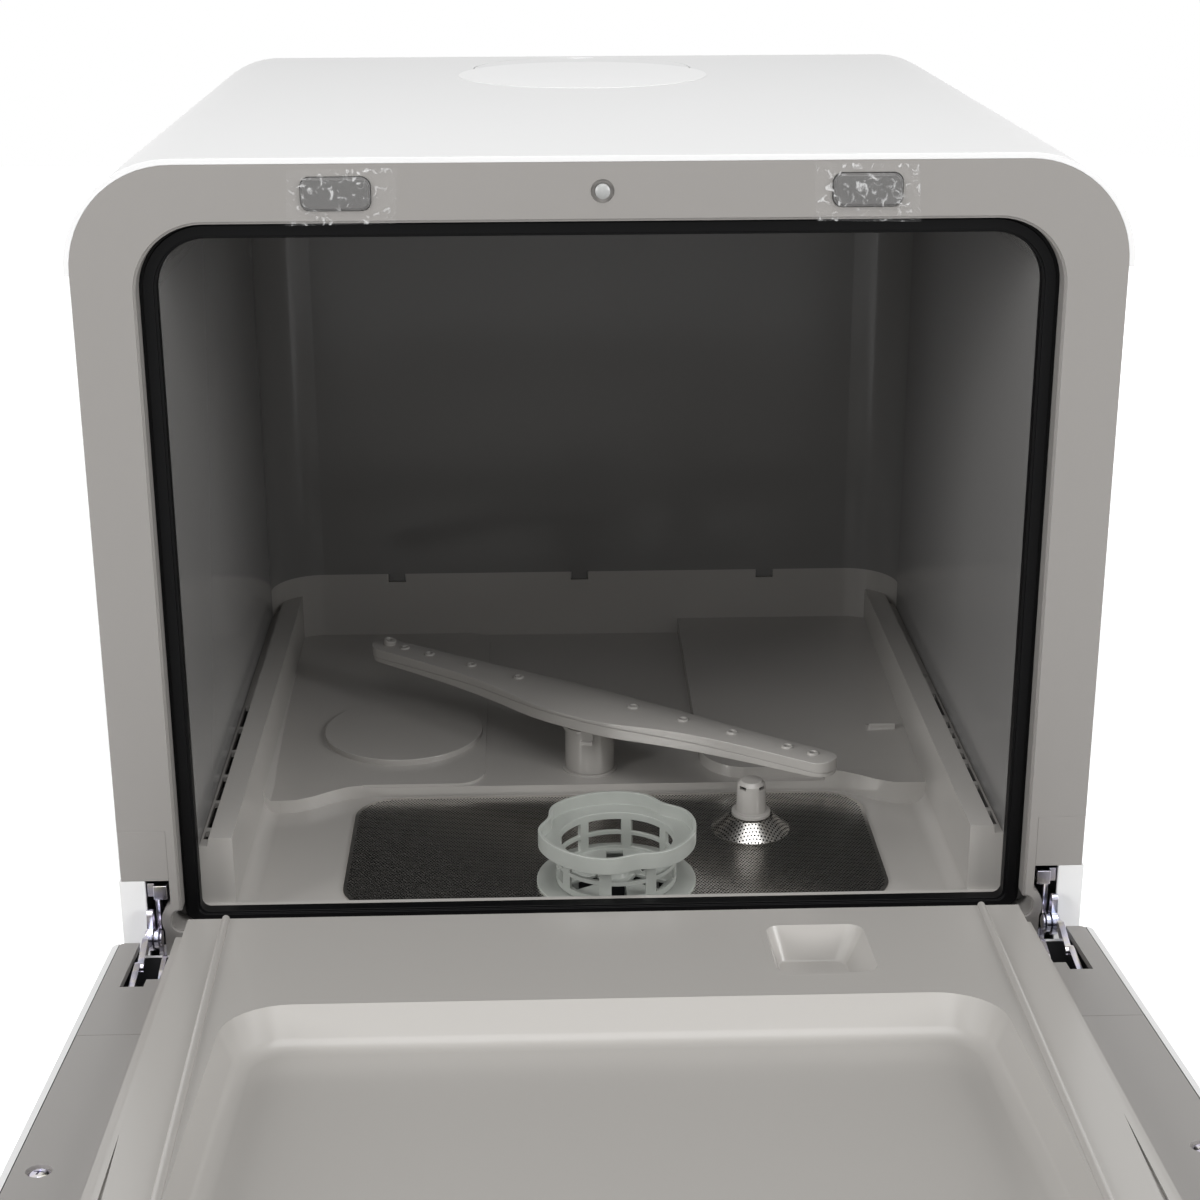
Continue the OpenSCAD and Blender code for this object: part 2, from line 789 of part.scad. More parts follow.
module filter_cup() {
    wall = 1.6;
    band = 8;
    basket_r = filter_r - 9;
    lower_h = cup_h - band;
    window_h = (lower_h - wall - 5.5) / 2;
    z0 = plate_top + 1.6 + fit;
    color(part_grey) cabinet() translate([filter_x, filter_y, z0]) {
        difference() {
            union() {
                along_z(lower_h, cup_h) cup_outline(0);
                cylinder(h = lower_h + wall, r = basket_r);
            }
            along_z(lower_h + wall, cup_h + 1) cup_outline(wall);
            translate([0, 0, wall]) cylinder(h = cup_h, r = basket_r - wall);
            for (i = [0 : 7]) rotate(i * 45 + 10) for (z = [wall + 1.5, wall + 3.5 + window_h])
                translate([basket_r - 4, -8, z]) cube([8, 16, window_h]);
            for (i = [0 : 5]) rotate(i * 60 + 30) translate([8, -4, -1]) cube([basket_r - 12, 8, 4]);
        }
        translate([0, 0, wall]) cylinder(h = 5, r1 = 6, r2 = 3);
        intersection() {
            translate([-13, -0.9, wall]) cube([26, 1.8, 8]);
            translate([0, 1, wall - 9]) rotate([90, 0, 0]) cylinder(h = 2, r = 15.5);
        }
    }
}

module float_cap() {
    z0 = plate_top + cone_h + fit;
    crown_r = float_r - 1.6;
    color(part_grey) cabinet() translate([float_x, float_y, z0]) difference() {
        union() {
            cylinder(h = 2, r = float_flange_r);
            cylinder(h = float_h - 2, r1 = float_r + 0.7, r2 = float_r);
            translate([0, 0, float_h - 2]) cylinder(h = 2, r1 = float_r, r2 = crown_r);
        }
        translate([0, 0, -1]) cylinder(h = float_h - 1, r = post_r + run_fit);
        translate([0, 0, 5]) cylinder(h = float_h - 7, r = crown_r);
        for (a = [0, 90, 180, 270]) rotate(a + 45)
            translate([crown_r - 1, -2, float_h - 3.6]) cube([4, 4, 1.8]);
    }
}

// Half width of the arm: full at the hub, drawn in softly towards the tips
function arm_half(x) = arm_tip_hw + (arm_mid_hw - arm_tip_hw) / (1 + pow(abs(x) / 50, 3));

module arm_outline(inset) {
    l = arm_len - arm_tip_hw;
    side = [for (i = [0 : 24]) let (x = -l + l * i / 12) [x, arm_half(x) - inset]];
    polygon(concat(side, [for (i = [24 : -1 : 0]) [side[i][0], -side[i][1]]]));
    for (x = [-l, l]) translate([x, 0]) circle(arm_half(l) - inset);
}

module arm_side_profile(top, depth_mid, depth_tip) {
    polygon([
        [-arm_len - 1, top], [-arm_len - 1, top - depth_tip], [-26, top - depth_mid],
        [26, top - depth_mid], [arm_len + 1, top - depth_tip], [arm_len + 1, top]
    ]);
}

module on_arm() {
    cabinet() translate([hub_x, hub_y, 0]) rotate(arm_turn) children();
}

nozzles = arm_len * [-0.86, -0.74, -0.54, -0.32, 0.19, 0.4, 0.6, 0.82, 0.92];
end_nozzle = 9 - arm_len;

// The crown of the arm is part of a round bar along it
module arm_crown(drop) {
    rod_x(0, arm_top - drop - arm_crown_r, arm_crown_r, -arm_len - 1, arm_len + 1);
}

module spray_arm_upper() {
    color(part_grey) on_arm() difference() {
        union() {
            intersection() {
                along_z(arm_seam, arm_top) arm_outline(0);
                arm_crown(0);
            }
            for (x = nozzles) translate([x, 0, arm_top - 1]) cylinder(h = 2, r = 2.9);
            translate([end_nozzle, 0, arm_top - 1]) rotate([0, 12, 0]) cylinder(h = 4, r = 3.4);
        }
        intersection() {
            along_z(arm_seam - 1, arm_top) arm_outline(arm_wall);
            arm_crown(arm_wall);
        }
        for (x = concat(nozzles, [end_nozzle])) translate([x, 0, arm_seam]) cylinder(h = 14, r = 1.4);
    }
}

module spray_arm_lower() {
    seam = arm_seam;
    depth = seam - collar_z;
    color(part_grey) on_arm() difference() {
        union() {
            intersection() {
                along_z(collar_z, seam) arm_outline(0.4);
                along_y(-arm_mid_hw, arm_mid_hw) arm_side_profile(seam, depth - 1.2, 2);
            }
            translate([0, 0, collar_z]) cylinder(h = 3, r = hub_r - 2.6);
            for (a = [-60, 120]) rotate(a) {
                translate([hub_r - 4, -3, collar_z + 0.8]) cube([7, 6, 1.6]);
                translate([hub_r + 1.8, -3, collar_z - 7]) cube([1.6, 6, 9]);
                translate([hub_r + 1.8, -3, collar_z - 7]) cube([4, 6, 1.6]);
            }
        }
        intersection() {
            along_z(collar_z + arm_wall, seam + 1) arm_outline(0.4 + arm_wall);
            along_y(-arm_mid_hw, arm_mid_hw) arm_side_profile(seam + 1, depth - 1.8, 1.4);
        }
        translate([0, 0, collar_z - 1]) cylinder(h = 20, r = stub_r + run_fit);
    }
}

// Pump group, under the tub
module sump() {
    z1 = seat_z - tub_t;
    elbow_x = pump_x + pump_w / 2;
    color(dark_plastic) cabinet() difference() {
        union() {
            translate([filter_x, filter_y, sump_z0]) cylinder(h = z1 - sump_z0, r = sump_r - 2);
            translate([filter_x, filter_y, z1 - 3]) cylinder(h = 3, r = sump_r + 3);
            rod_x(filter_y, pump_z, hose_r, filter_x, elbow_x);
            translate([elbow_x, filter_y, pump_z]) sphere(r = hose_r);
            rod_y(elbow_x, pump_z, hose_r, filter_y, pump_y - pump_r - 8);
        }
        translate([filter_x, filter_y, sump_z0 + 2.5]) cylinder(h = z1, r = sump_r - 4.5);
        rod_x(filter_y, pump_z, hose_bore, filter_x, elbow_x);
        rod_y(elbow_x, pump_z, hose_bore, filter_y, pump_y - pump_r - 7);
    }
}

module wash_pump() {
    color(dark_plastic) cabinet() {
        rod_x(pump_y, pump_z, pump_r, pump_x, pump_x + pump_w);
        rod_y(pump_x + pump_w / 2, pump_z, hose_r + 1, pump_y - pump_r - 8, pump_y);
        box([pump_x, pump_y - 22, pan_z], [pump_x + pump_w, pump_y + 22, pump_z]);
    }
}

module wash_motor() {
    x0 = pump_x + pump_w;
    color(steel) cabinet() {
        rod_x(pump_y, pump_z, pump_r - 6, x0, x0 + 44);
        rod_x(pump_y, pump_z, 10, x0 + 44, x0 + 50);
        for (i = [0 : 4]) rod_x(pump_y, pump_z, pump_r - 4, x0 + 6 + i * 8, x0 + 9 + i * 8);
    }
}

module wash_hose() {
    top = seat_z - 8;
    color(rubber_black) cabinet() difference() {
        union() {
            translate([hub_x, hub_y, pump_z]) cylinder(h = top - pump_z, r = hose_r);
            translate([hub_x, hub_y, pump_z]) sphere(r = hose_r);
            rod_x(hub_y, pump_z, hose_r, hub_x, pump_x);
        }
        translate([hub_x, hub_y, pump_z]) cylinder(h = cab_h, r = hose_bore);
        rod_x(hub_y, pump_z, hose_bore, hub_x, pump_x + 1);
    }
}

module drain_pump() {
    color(dark_plastic) cabinet() {
        rod_y(drain_x, port_z, 20, drain_pump_y, drain_pump_y + 30);
        rod_y(drain_x, port_z, 14, drain_pump_y - 26, drain_pump_y);
        rod_y(drain_x, port_z, hose_r, drain_pump_y + 30, drain_pump_y + 38);
        box([drain_x - 14, drain_pump_y, pan_z], [drain_x + 14, drain_pump_y + 30, port_z]);
    }
}

module drain_hose() {
    y0 = drain_pump_y + 38;
    y1 = port_plate_y - 6;
    color(rubber_black) cabinet() difference() {
        rod_y(drain_x, port_z, hose_r, y0, y1);
        rod_y(drain_x, port_z, hose_bore, y0 - 1, y1 + 1);
    }
}

module heater() {
    y = 250;
    z = foot_h + 28;
    r = 15;
    x0 = -140;
    x1 = -30;
    color(steel) cabinet() {
        rod_x(y, z, r, x0, x1);
        for (x = [x0 + r, x1 - r - 5]) box([x - 5, y - 12, pan_z], [x + 5, y + 12, z]);
        for (x = [x0, x1]) rod_x(y, z, r + 3, x - 4, x + 4);
    }
}

// Water supply
module fill_funnel() {
    top = cab_h - casing_t;
    color(part_grey) cabinet() difference() {
        union() {
            translate([0, lid_y, funnel_z]) cylinder(h = top - funnel_z, r = lid_r + 4);
            translate([0, spout_y, funnel_z - 8]) cylinder(h = 9, r = spout_r);
        }
        translate([0, lid_y, funnel_z + 2.5]) cylinder(h = 60, r = lid_r - 3);
        translate([0, lid_y, cab_h - lid_t - fit]) cylinder(h = 60, r = lid_r + 2 * fit);
        translate([0, spout_y, funnel_z - 10]) cylinder(h = 20, r = spout_r - 2.5);
        box([-lid_r, back_y - fit, funnel_z - 1], [lid_r, cab_d, cab_h]);
    }
}

module fill_lid() {
    color(white) cabinet() translate([0, lid_y, 0]) difference() {
        union() {
            translate([0, 0, cab_h - lid_t]) cylinder(h = lid_t, r = lid_r);
            translate([0, 0, cab_h - lid_t - 6]) cylinder(h = 6.5, r = lid_r - 4);
        }
        translate([0, 0, cab_h - lid_t - 7]) cylinder(h = 8, r = lid_r - 6.5);
        translate([0, lid_r, cab_h - 2]) cylinder(h = 4, r = 8);
    }
}

module water_tank() {
    x0 = fan_x + fan_half + 13;
    x1 = side_hw - 37.5;
    z0 = corner_z - 9;
    z1 = funnel_z - 6;
    wall = tub_t;
    color("#D9DDDC") cabinet() difference() {
        union() {
            box([x0, tank_y0, z0], [x1, tank_y1, z1]);
            translate([0, spout_y, z1 - 1]) cylinder(h = 7, r = spout_r + 3.5);
        }
        box([x0 + wall, tank_y0 + wall, z0 + wall], [x1 - wall, tank_y1 - wall, z1 - wall]);
        translate([0, spout_y, z1 - 2 * wall]) cylinder(h = 20, r = spout_r + fit);
    }
}

module inlet_valve() {
    color(dark_plastic) cabinet() difference() {
        union() {
            rod_y(valve_x, port_z, valve_r, port_out_y, port_plate_y + 22);
            rod_y(valve_x, port_z, valve_r - port_neck, port_plate_y - 1, port_out_y + 1);
            rod_y(valve_x, port_z, valve_r + 3.3, port_plate_y - 8, port_plate_y);
            box([valve_x - 15, port_plate_y - 40, port_z - 14],
                [valve_x + 15, port_plate_y - 8, port_z + 22]);
        }
        rod_y(valve_x, port_z, 6, port_plate_y - 6, cab_d);
    }
}

module drain_port() {
    color(dark_plastic) cabinet() difference() {
        union() {
            rod_y(drain_x, port_z, drain_r, port_out_y, port_plate_y + 24);
            rod_y(drain_x, port_z, drain_r - port_neck, port_plate_y - 1, port_out_y + 1);
            rod_y(drain_x, port_z, drain_r + 3.5, port_plate_y - 6, port_plate_y);
        }
        rod_y(drain_x, port_z, drain_r - 2.5, port_plate_y - 7, cab_d);
    }
}

module cord_gland() {
    color(rubber_black) cabinet() difference() {
        union() {
            rod_y(gland_x, gland_z, gland_r, back_y - 2, back_y + casing_t);
            rod_y(gland_x, gland_z, gland_r + 3, back_y - 5, back_y);
            rod_y(gland_x, gland_z, gland_r + 2, back_y + casing_t, back_y + casing_t + 2.5);
        }
        rod_y(gland_x, gland_z, 3.8, back_y - 6, cab_d + 1);
    }
}

module drying_fan() {
    color(dark_plastic) cabinet() {
        difference() {
            box([fan_x - fan_half, back_y - 34, fan_z - fan_half],
                [fan_x + fan_half, back_y, fan_z + fan_half]);
            rod_y(fan_x, fan_z, fan_half - 4, back_y - 30, back_y + 1);
        }
        rod_y(fan_x, fan_z, 12, back_y - 30, back_y - 6);
        for (i = [0 : 6])
            translate([fan_x, back_y - 30, fan_z]) rotate([0, i * 360 / 7, 0])
                translate([11, 0, -1]) cube([15, 20, 2]);
    }
}

// Controls
module control_panel() {
    t = casing_t;
    color(white) cabinet() difference() {
        box([-side_hw, door_out_y, foot_h], [side_hw, face_t, panel_top]);
        box([-side_hw + 2, door_out_y + t, foot_h + t], [side_hw - 2, face_t + 1, panel_top - t]);
        for (x = button_x)
            rod_y(x, button_z, button_d / 2 + fit, door_out_y - 1, door_out_y + t + 1);
        box([window_x - window_w / 2 - fit / 2, door_out_y - 1, button_z - window_h / 2 - fit / 2],
            [window_x + window_w / 2 + fit / 2, door_out_y + t + 1, button_z + window_h / 2 + fit / 2]);
    }
}

module display_window() {
    t = casing_t;
    color(dark_plastic) cabinet() {
        box([window_x - window_w / 2, door_out_y, button_z - window_h / 2],
            [window_x + window_w / 2, door_out_y + t, button_z + window_h / 2]);
        box([window_x - window_w / 2 - 3, door_out_y + t, button_z - window_h / 2 - 3],
            [window_x + window_w / 2 + 3, door_out_y + t + 2, button_z + window_h / 2 + 3]);
    }
}

module button(index) {
    x = button_x[index];
    y0 = door_out_y - button_travel - 0.5;
    color(frame_grey) cabinet() {
        rod_y(x, button_z, button_d / 2, y0, board_y - 4);
        rod_y(x, button_z, button_d / 2 + 2, door_out_y + casing_t + fit, door_out_y + casing_t + fit + 1.5);
    }
}

module control_board() {
    x0 = window_x - 55;
    x1 = button_x[3] + 19;
    z0 = foot_h + 10;
    z1 = panel_top - 8;
    t = 1.6;
    color("#2F5A3C") cabinet() {
        box([x0, board_y, z0], [x1, board_y + t, z1]);
        for (x = button_x) rod_y(x, button_z, 3, board_y - 4 + button_travel + fit, board_y);
        for (x = [x0 + 3, x1 - 3], z = [z0 + 3, z1 - 3]) rod_y(x, z, 3, door_out_y + casing_t, board_y);
        box([x0 + 25, board_y + t, z0 + 6], [x0 + 85, board_y + 16, z1 - 4]);
    }
}

// Hinge
module hinge_bracket(side) {
    x1 = bracket_x + bracket_t;
    foot_z = hinge_z - 27.2;
    head_z = hinge_z + 17;
    head_w = 5.9;
    head_h = 6.5;
    ear_w = 3.3;
    color(zinc) cabinet() mirrored(side) {
        difference() {
            along_x(bracket_x, x1) {
                bar([hinge_y, hinge_z], [7, hinge_z - 8], 9);
                translate([2.5, foot_z]) square([9, head_z + 2.5 - foot_z]);
            }
            rod_x(hinge_y, hinge_z, pin_r, bracket_x - 1, x1 + 1);
        }
        box([x1 - head_w, -0.6, head_z], [x1, 8, head_z + head_h]);
        box([x1 - 1, 2.6, head_z], [x1 + ear_w, 8, head_z + head_h]);
        box([bracket_x - 12.7, face_t, foot_z], [bracket_x, face_t + 2, foot_z + 20]);
    }
}

module hinge_pin(side) {
    x1 = lever_x + lever_t + fit;
    color(zinc) cabinet() mirrored(side) {
        rod_x(hinge_y, hinge_z, pin_r, bracket_x - 1.4, x1 + 1);
        rod_x(hinge_y, hinge_z, 3.5, bracket_x - 1.4, bracket_x);
        rod_x(hinge_y, hinge_z, 3.5, x1, x1 + 1.2);
    }
}

// Point on the door: s up from the hinge end of the closed door, h in from its side bands
function on_door(s, h) = [band_y + h, door_z0 + s];

module hinge_arm(side) {
    joggle = 1.3;
    lever_w = 4.6;
    floor_h = casing_t - door_t;
    color(zinc) door() mirrored(side) {
        difference() {
            along_x(lever_x, lever_x + lever_t) {
                bar([hinge_y, hinge_z], on_door(-9.2, 9.6), lever_w);
                translate([hinge_y, hinge_z]) circle(5.6);
                bar([hinge_y, hinge_z], on_door(4.6, 1.6), lever_w);
                bar(on_door(4.6, 1.6), on_door(18, -4), lever_w);
            }
            rod_x(hinge_y, hinge_z, pin_r + run_fit, lever_x - 1, lever_x + lever_t + 1);
        }
        along_x(lever_x + joggle, lever_x + joggle + lever_t) {
            bar(on_door(18, -4), on_door(36, -8), lever_w);
            bar(on_door(36, -8), on_door(44, -20), lever_w);
            translate(on_door(38, 0)) translate([floor_h, 0]) square([10, 20]);
        }
        along_x(flank_x, flank_x + 2) {
            bar(on_door(8, -6.5), on_door(16, -9), 7);
            bar(on_door(16, -9), on_door(30, -16), 7);
            translate(on_door(24, 0)) translate([floor_h, 0]) square([12, 20]);
        }
        translate([flank_x, on_door(24, floor_h)[0], on_door(24, floor_h)[1]])
            cube([lever_x + joggle + lever_t - flank_x, 2, 34]);
    }
}

// Door, modelled shut and turned open
module slot_cut() {
    both_sides() {
        box([slot_mid_x, band_y - 6, door_z0 - 2], [slot_out_x, band_y + 1, door_z0 + slot_long]);
        box([slot_in_x, band_y - 6, door_z0 - 2], [slot_mid_x + 1, band_y + 1, door_z0 + slot_short]);
    }
}

trim_hw = inner_hw - fit;
door_screw_z = [door_z0 + 205.7, door_z1 - 44.3];
door_screw_x = hw - 12.5;

module door_shell() {
    t = casing_t;
    color(white) door() difference() {
        union() {
            difference() {
                along_y(door_out_y, band_y) arch(hw, door_z0, door_z1, corner_r, 5);
                along_y(door_out_y + t, band_y + 1)
                    arch(inner_hw, door_z0 + t, door_z1 - t, corner_r - t, 3);
            }
            for (x = [-door_screw_x, door_screw_x], z = door_screw_z)
                rod_y(x, z, 4.5, door_out_y + t / 2, band_y - face_t);
            box([-48, door_out_y + t / 2, door_z1 - 16], [48, band_y - 8, door_z1 - t / 2]);
        }
        slot_cut();
        box([-inner_hw, band_y - face_t, door_z0 - 1], [inner_hw, band_y + 1, door_z0 + 2 * t + 1]);
        for (x = [-door_screw_x, door_screw_x], z = door_screw_z)
            rod_y(x, z, 1.7, door_out_y + 2 * t, band_y);
        box([-45, door_out_y + 5, door_z1 - 13.5], [45, band_y - 10.5, door_z1 + 1]);
    }
}

// Inner edge of the side bands: a straight line that draws in towards the top
module liner_outline(low, high, inset) {
    polygon([
        [-low + inset, door_z0 - 1.3 + inset], [low - inset, door_z0 - 1.3 + inset],
        [high - inset, door_z1 - 24 - inset], [-high + inset, door_z1 - 24 - inset]
    ]);
}

// Raised part of the liner, which passes through the frame's opening
module liner_step(low, high, inset, clearance) {
    intersection() {
        liner_outline(low, high, inset);
        arch(open_hw, door_z0 - 2, open_top_z - clearance, open_r - clearance + 1, 0);
    }
}

module door_trim() {
    split = door_z0 + cover_len;
    color(frame_grey) door() difference() {
        along_y(band_y - face_t, band_y) difference() {
            arch(trim_hw, split + 0.2, door_z1 - casing_t - fit, corner_r - casing_t, 0);
            liner_outline(band_in_low, band_in_high, 0);
        }
        for (x = [-door_screw_x, door_screw_x], z = door_screw_z) {
            rod_y(x, z, 1.8, band_y - 4, band_y + 1);
            rod_y(x, z, 4.6, band_y - 1.4, band_y + 1);
        }
        for (x = [-latch_x, latch_x])
            along_y(band_y - 1.5, band_y + 1) translate([x, latch_z]) round_rect(latch_w, latch_h, 3.8);
    }
}

module door_strikes() {
    color(steel) door() for (x = [-latch_x, latch_x])
        along_y(band_y - 1.5, band_y) translate([x, latch_z])
            round_rect(latch_w - fit, latch_h - fit, 3.6);
}

module door_screws() {
    color(zinc) door() for (x = [-door_screw_x, door_screw_x], z = door_screw_z) {
        rod_y(x, z, 4.1, band_y - 1.4, band_y - 0.2);
        rod_y(x, z, 1.6, band_y - 14, band_y - 1);
    }
}

module door_hinge_cover(side) {
    color(frame_grey) door() difference() {
        mirrored(side) along_y(band_y - face_t, band_y) difference() {
            intersection() {
                translate([band_in_high - 2, door_z0]) square([trim_hw - band_in_high + 2, cover_len]);
                arch(trim_hw, door_z0, door_z1, corner_r, 3);
            }
            liner_outline(band_in_low, band_in_high, 0);
        }
        slot_cut();
    }
}

module pan_box(grow) {
    w = 2 * (band_in_high - 29);
    z0 = door_z0 + 92;
    z1 = door_z1 - 40;
    cz = (z0 + z1) / 2;
    r = 26;
    top_y = band_y + plug_h;
    hull() {
        translate([0, top_y + 0.02, cz]) rotate([90, 0, 0]) linear_extrude(0.02)
            round_rect(w + 2 * grow, z1 - z0 + 2 * grow, r + grow, $fn = 32);
        translate([0, top_y - pan_depth - grow, cz + 4]) rotate([90, 0, 0]) linear_extrude(0.02)
            round_rect(w - 14 + 2 * grow, z1 - z0 - 12 + 2 * grow, r - 6 + grow, $fn = 32);
    }
}

module cup_box(grow) {
    top_y = band_y + plug_h;
    depth = 14;
    cz = door_z0 + 18 + cup_l / 2;
    hull() {
        translate([89, top_y + 0.02, cz]) rotate([90, 0, 0]) linear_extrude(0.02)
            round_rect(cup_w + 2 * grow, cup_l + 2 * grow, 7 + grow, $fn = 32);
        translate([87.5, top_y - depth - grow, cz + 1]) rotate([90, 0, 0]) linear_extrude(0.02)
            round_rect(cup_w - 13 + 2 * grow, cup_l - 12 + 2 * grow, 5 + grow, $fn = 32);
    }
}

// Groove that widens towards the door's top, just inside the raised face's edge
module liner_groove(low, high) {
    z0 = door_z0 + 199;
    z1 = door_z0 + 314;
    slope = (low - high) / (door_z1 - 24 - door_z0 + 1.3);
    x0 = low - slope * (z0 - door_z0) - 2;
    x1 = low - slope * (z1 - door_z0) - 2;
    polygon([[x0, z0], [x1 - 0.3, z1 - 5], [x1 - 1, z1], [x1 - 3, z1], [x1 - 3.4, z1 - 6]]);
}

module door_liner() {
    wall = tub_t;
    plug_low = open_hw - 4.5;
    plug_high = open_hw - 12;
    top_y = band_y + plug_h;
    ledge_y = band_y + 1.8;
    rib_low = [open_hw - 21, door_z0 - 1];
    rib_high = [open_hw - 34, door_z1 - 36];
    rib_d = rib_high - rib_low;
    rib_r = 1.7;
    color(part_grey) door() difference() {
        union() {
            difference() {
                union() {
                    along_y(band_y - face_t, ledge_y) liner_outline(band_in_low - fit, band_in_high - fit, 0);
                    along_y(ledge_y - 1, ledge_y + 2.5) liner_step(open_hw - 2, open_hw - 8.5, 1.2, 1.5);
                    along_y(ledge_y - 1, top_y) liner_step(plug_low, plug_high, 0, 2.5);
                }
                along_y(band_y - face_t - 1, ledge_y - wall)
                    liner_outline(band_in_low - 3, band_in_high - 3, 3);
                along_y(band_y - face_t - 1, top_y - wall)
                    liner_step(plug_low - wall, plug_high - wall, wall + eps, 2 * wall);
            }
            pan_box(wall);
            cup_box(wall);
            for (x = [-1, 1])
                translate([x * rib_low[0], top_y, rib_low[1]])
                    rotate([0, x * atan2(rib_d[0], rib_d[1]), 0])
                        cylinder(h = norm(rib_d), r = rib_r);
            for (x = [-1, 1]) translate([x * rib_low[0], top_y, rib_low[1]]) sphere(r = rib_r);
        }
        pan_box(0);
        cup_box(0);
        both_sides() along_y(top_y - 1.8, top_y + eps) liner_groove(plug_low, plug_high);
    }
}

top_cover();
side_panel(-1);  // side_panel_left
side_panel(1);  // side_panel_right
back_panel();
base_pan();
feet();
front_frame();
frame_corner(-1);  // frame_corner_left
frame_corner(1);  // frame_corner_right
door_gasket();
latch_magnet(-1);  // latch_magnet_left
latch_magnet(1);  // latch_magnet_right
door_switch();
door_plunger();
tub();
tub_base();
spray_hub();
micro_filter();
filter_plate();
filter_cup();
float_cap();
spray_arm_upper();
spray_arm_lower();
sump();
wash_pump();
wash_motor();
drain_pump();
heater();
wash_hose();
drain_hose();
water_tank();
fill_funnel();
fill_lid();
inlet_valve();
drain_port();
cord_gland();
drying_fan();
control_board();
control_panel();
display_window();
button(0);  // power_button
button(1);  // program_button
button(2);  // dry_button
button(3);  // start_button
hinge_bracket(-1);  // hinge_bracket_left
hinge_bracket(1);  // hinge_bracket_right
hinge_pin(-1);  // hinge_pin_left
hinge_pin(1);  // hinge_pin_right
hinge_arm(-1);  // hinge_arm_left
hinge_arm(1);  // hinge_arm_right
door_shell();
door_trim();
door_hinge_cover(-1);  // door_hinge_cover_left
door_hinge_cover(1);  // door_hinge_cover_right
door_liner();
door_strikes();
door_screws();
back_screws();
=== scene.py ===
"""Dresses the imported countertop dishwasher: soft edges, finishes, perforations, screws, film and stage."""

import json
import math
from random import Random

import bmesh
import bpy
from bpy.props import FloatProperty, FloatVectorProperty, PointerProperty
from mathutils import Matrix, Vector

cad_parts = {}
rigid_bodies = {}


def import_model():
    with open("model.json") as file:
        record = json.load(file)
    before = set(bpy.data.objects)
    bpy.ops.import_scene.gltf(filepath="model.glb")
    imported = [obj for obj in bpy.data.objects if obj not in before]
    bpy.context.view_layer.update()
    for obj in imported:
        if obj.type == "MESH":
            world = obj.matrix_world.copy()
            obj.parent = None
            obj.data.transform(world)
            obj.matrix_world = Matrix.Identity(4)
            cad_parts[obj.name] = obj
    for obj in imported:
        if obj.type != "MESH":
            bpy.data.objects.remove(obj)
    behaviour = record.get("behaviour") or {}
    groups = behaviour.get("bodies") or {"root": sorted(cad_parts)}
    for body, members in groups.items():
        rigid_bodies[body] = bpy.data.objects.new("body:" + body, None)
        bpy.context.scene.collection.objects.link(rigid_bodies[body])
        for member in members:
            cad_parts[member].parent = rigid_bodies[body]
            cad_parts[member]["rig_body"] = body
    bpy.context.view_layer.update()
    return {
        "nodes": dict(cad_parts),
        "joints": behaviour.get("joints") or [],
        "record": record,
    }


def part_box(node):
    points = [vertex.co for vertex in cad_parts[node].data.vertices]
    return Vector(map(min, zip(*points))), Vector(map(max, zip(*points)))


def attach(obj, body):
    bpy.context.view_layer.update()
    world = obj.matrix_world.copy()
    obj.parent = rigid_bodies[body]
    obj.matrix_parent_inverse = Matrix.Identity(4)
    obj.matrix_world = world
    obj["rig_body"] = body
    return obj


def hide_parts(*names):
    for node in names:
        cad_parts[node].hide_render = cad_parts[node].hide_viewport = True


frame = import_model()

bl_info = {
    "name": "Countertop dishwasher dressing",
    "version": (1, 0, 0),
    "blender": (4, 5, 0),
    "location": "3D View > Sidebar > Dishwasher",
    "description": "Finishes, small parts and stage for the countertop dishwasher",
    "category": "Object",
}

MM = 0.001
# Area lying double in a softened copy, above which its radius is lessened
FOLD_LIMIT = 60 * MM * MM
# Shut door: how far its side bands stand before the cabinet's front, and the height of its lower edge (mm)
BAND_STANDOFF = 2.3
DOOR_FOOT = 104.7
NODES = frame["nodes"]
HINGE = next(j for j in frame["joints"] if j["name"] == "door_hinge")
PIVOT = Vector(HINGE["pos_m"])
OPEN_ANGLE = math.radians(HINGE["range_deg"][1])
FRONT_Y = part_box("top_cover")[0].y
TOP_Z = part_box("top_cover")[1].z


def linear(hex_colour, alpha=1.0):
    """Linear RGBA for an sRGB hex colour."""
    out = []
    for i in (1, 3, 5):
        c = int(hex_colour[i:i + 2], 16) / 255
        out.append(c / 12.92 if c <= 0.04045 else ((c + 0.055) / 1.055) ** 2.4)
    return (*out, alpha)


def colour_prop(name, description, hex_colour):
    return FloatVectorProperty(
        name=name, description=description, subtype="COLOR", size=4, min=0, max=1,
        default=linear(hex_colour),
    )


def size_prop(name, description, default_mm, low_mm=0.0, high_mm=1000.0):
    return FloatProperty(
        name=name, description=description, subtype="DISTANCE", unit="LENGTH",
        default=default_mm * MM, min=low_mm * MM, max=high_mm * MM, precision=5,
    )


# Settings

class DishwasherColours(bpy.types.PropertyGroup):
    """Colours of the mouldings, metals and films."""
    casing: colour_prop("Casing", "Painted white casing", "#E2E2E2")
    trim: colour_prop("Front frame and trim", "Warm grey mouldings round the opening and door", "#8E8B88")
    liner: colour_prop("Liner and base", "Warm grey mouldings inside", "#ADAAA6")
    tub: colour_prop("Tub", "Dark grey blow-moulded sleeve", "#7E7D7C")
    rubber: colour_prop("Gasket", "Black extruded gasket", "#060607")
    steel: colour_prop("Steel", "Stainless sheet", "#D6D4D0")
    cup: colour_prop("Filter cup", "Greenish grey translucent moulding", "#A3A6A1")
    dark: colour_prop("Dark mouldings", "Pumps, ports and fan", "#2B2B2D")
    tank: colour_prop("Tank", "Milky moulded tank", "#DDE2E1")


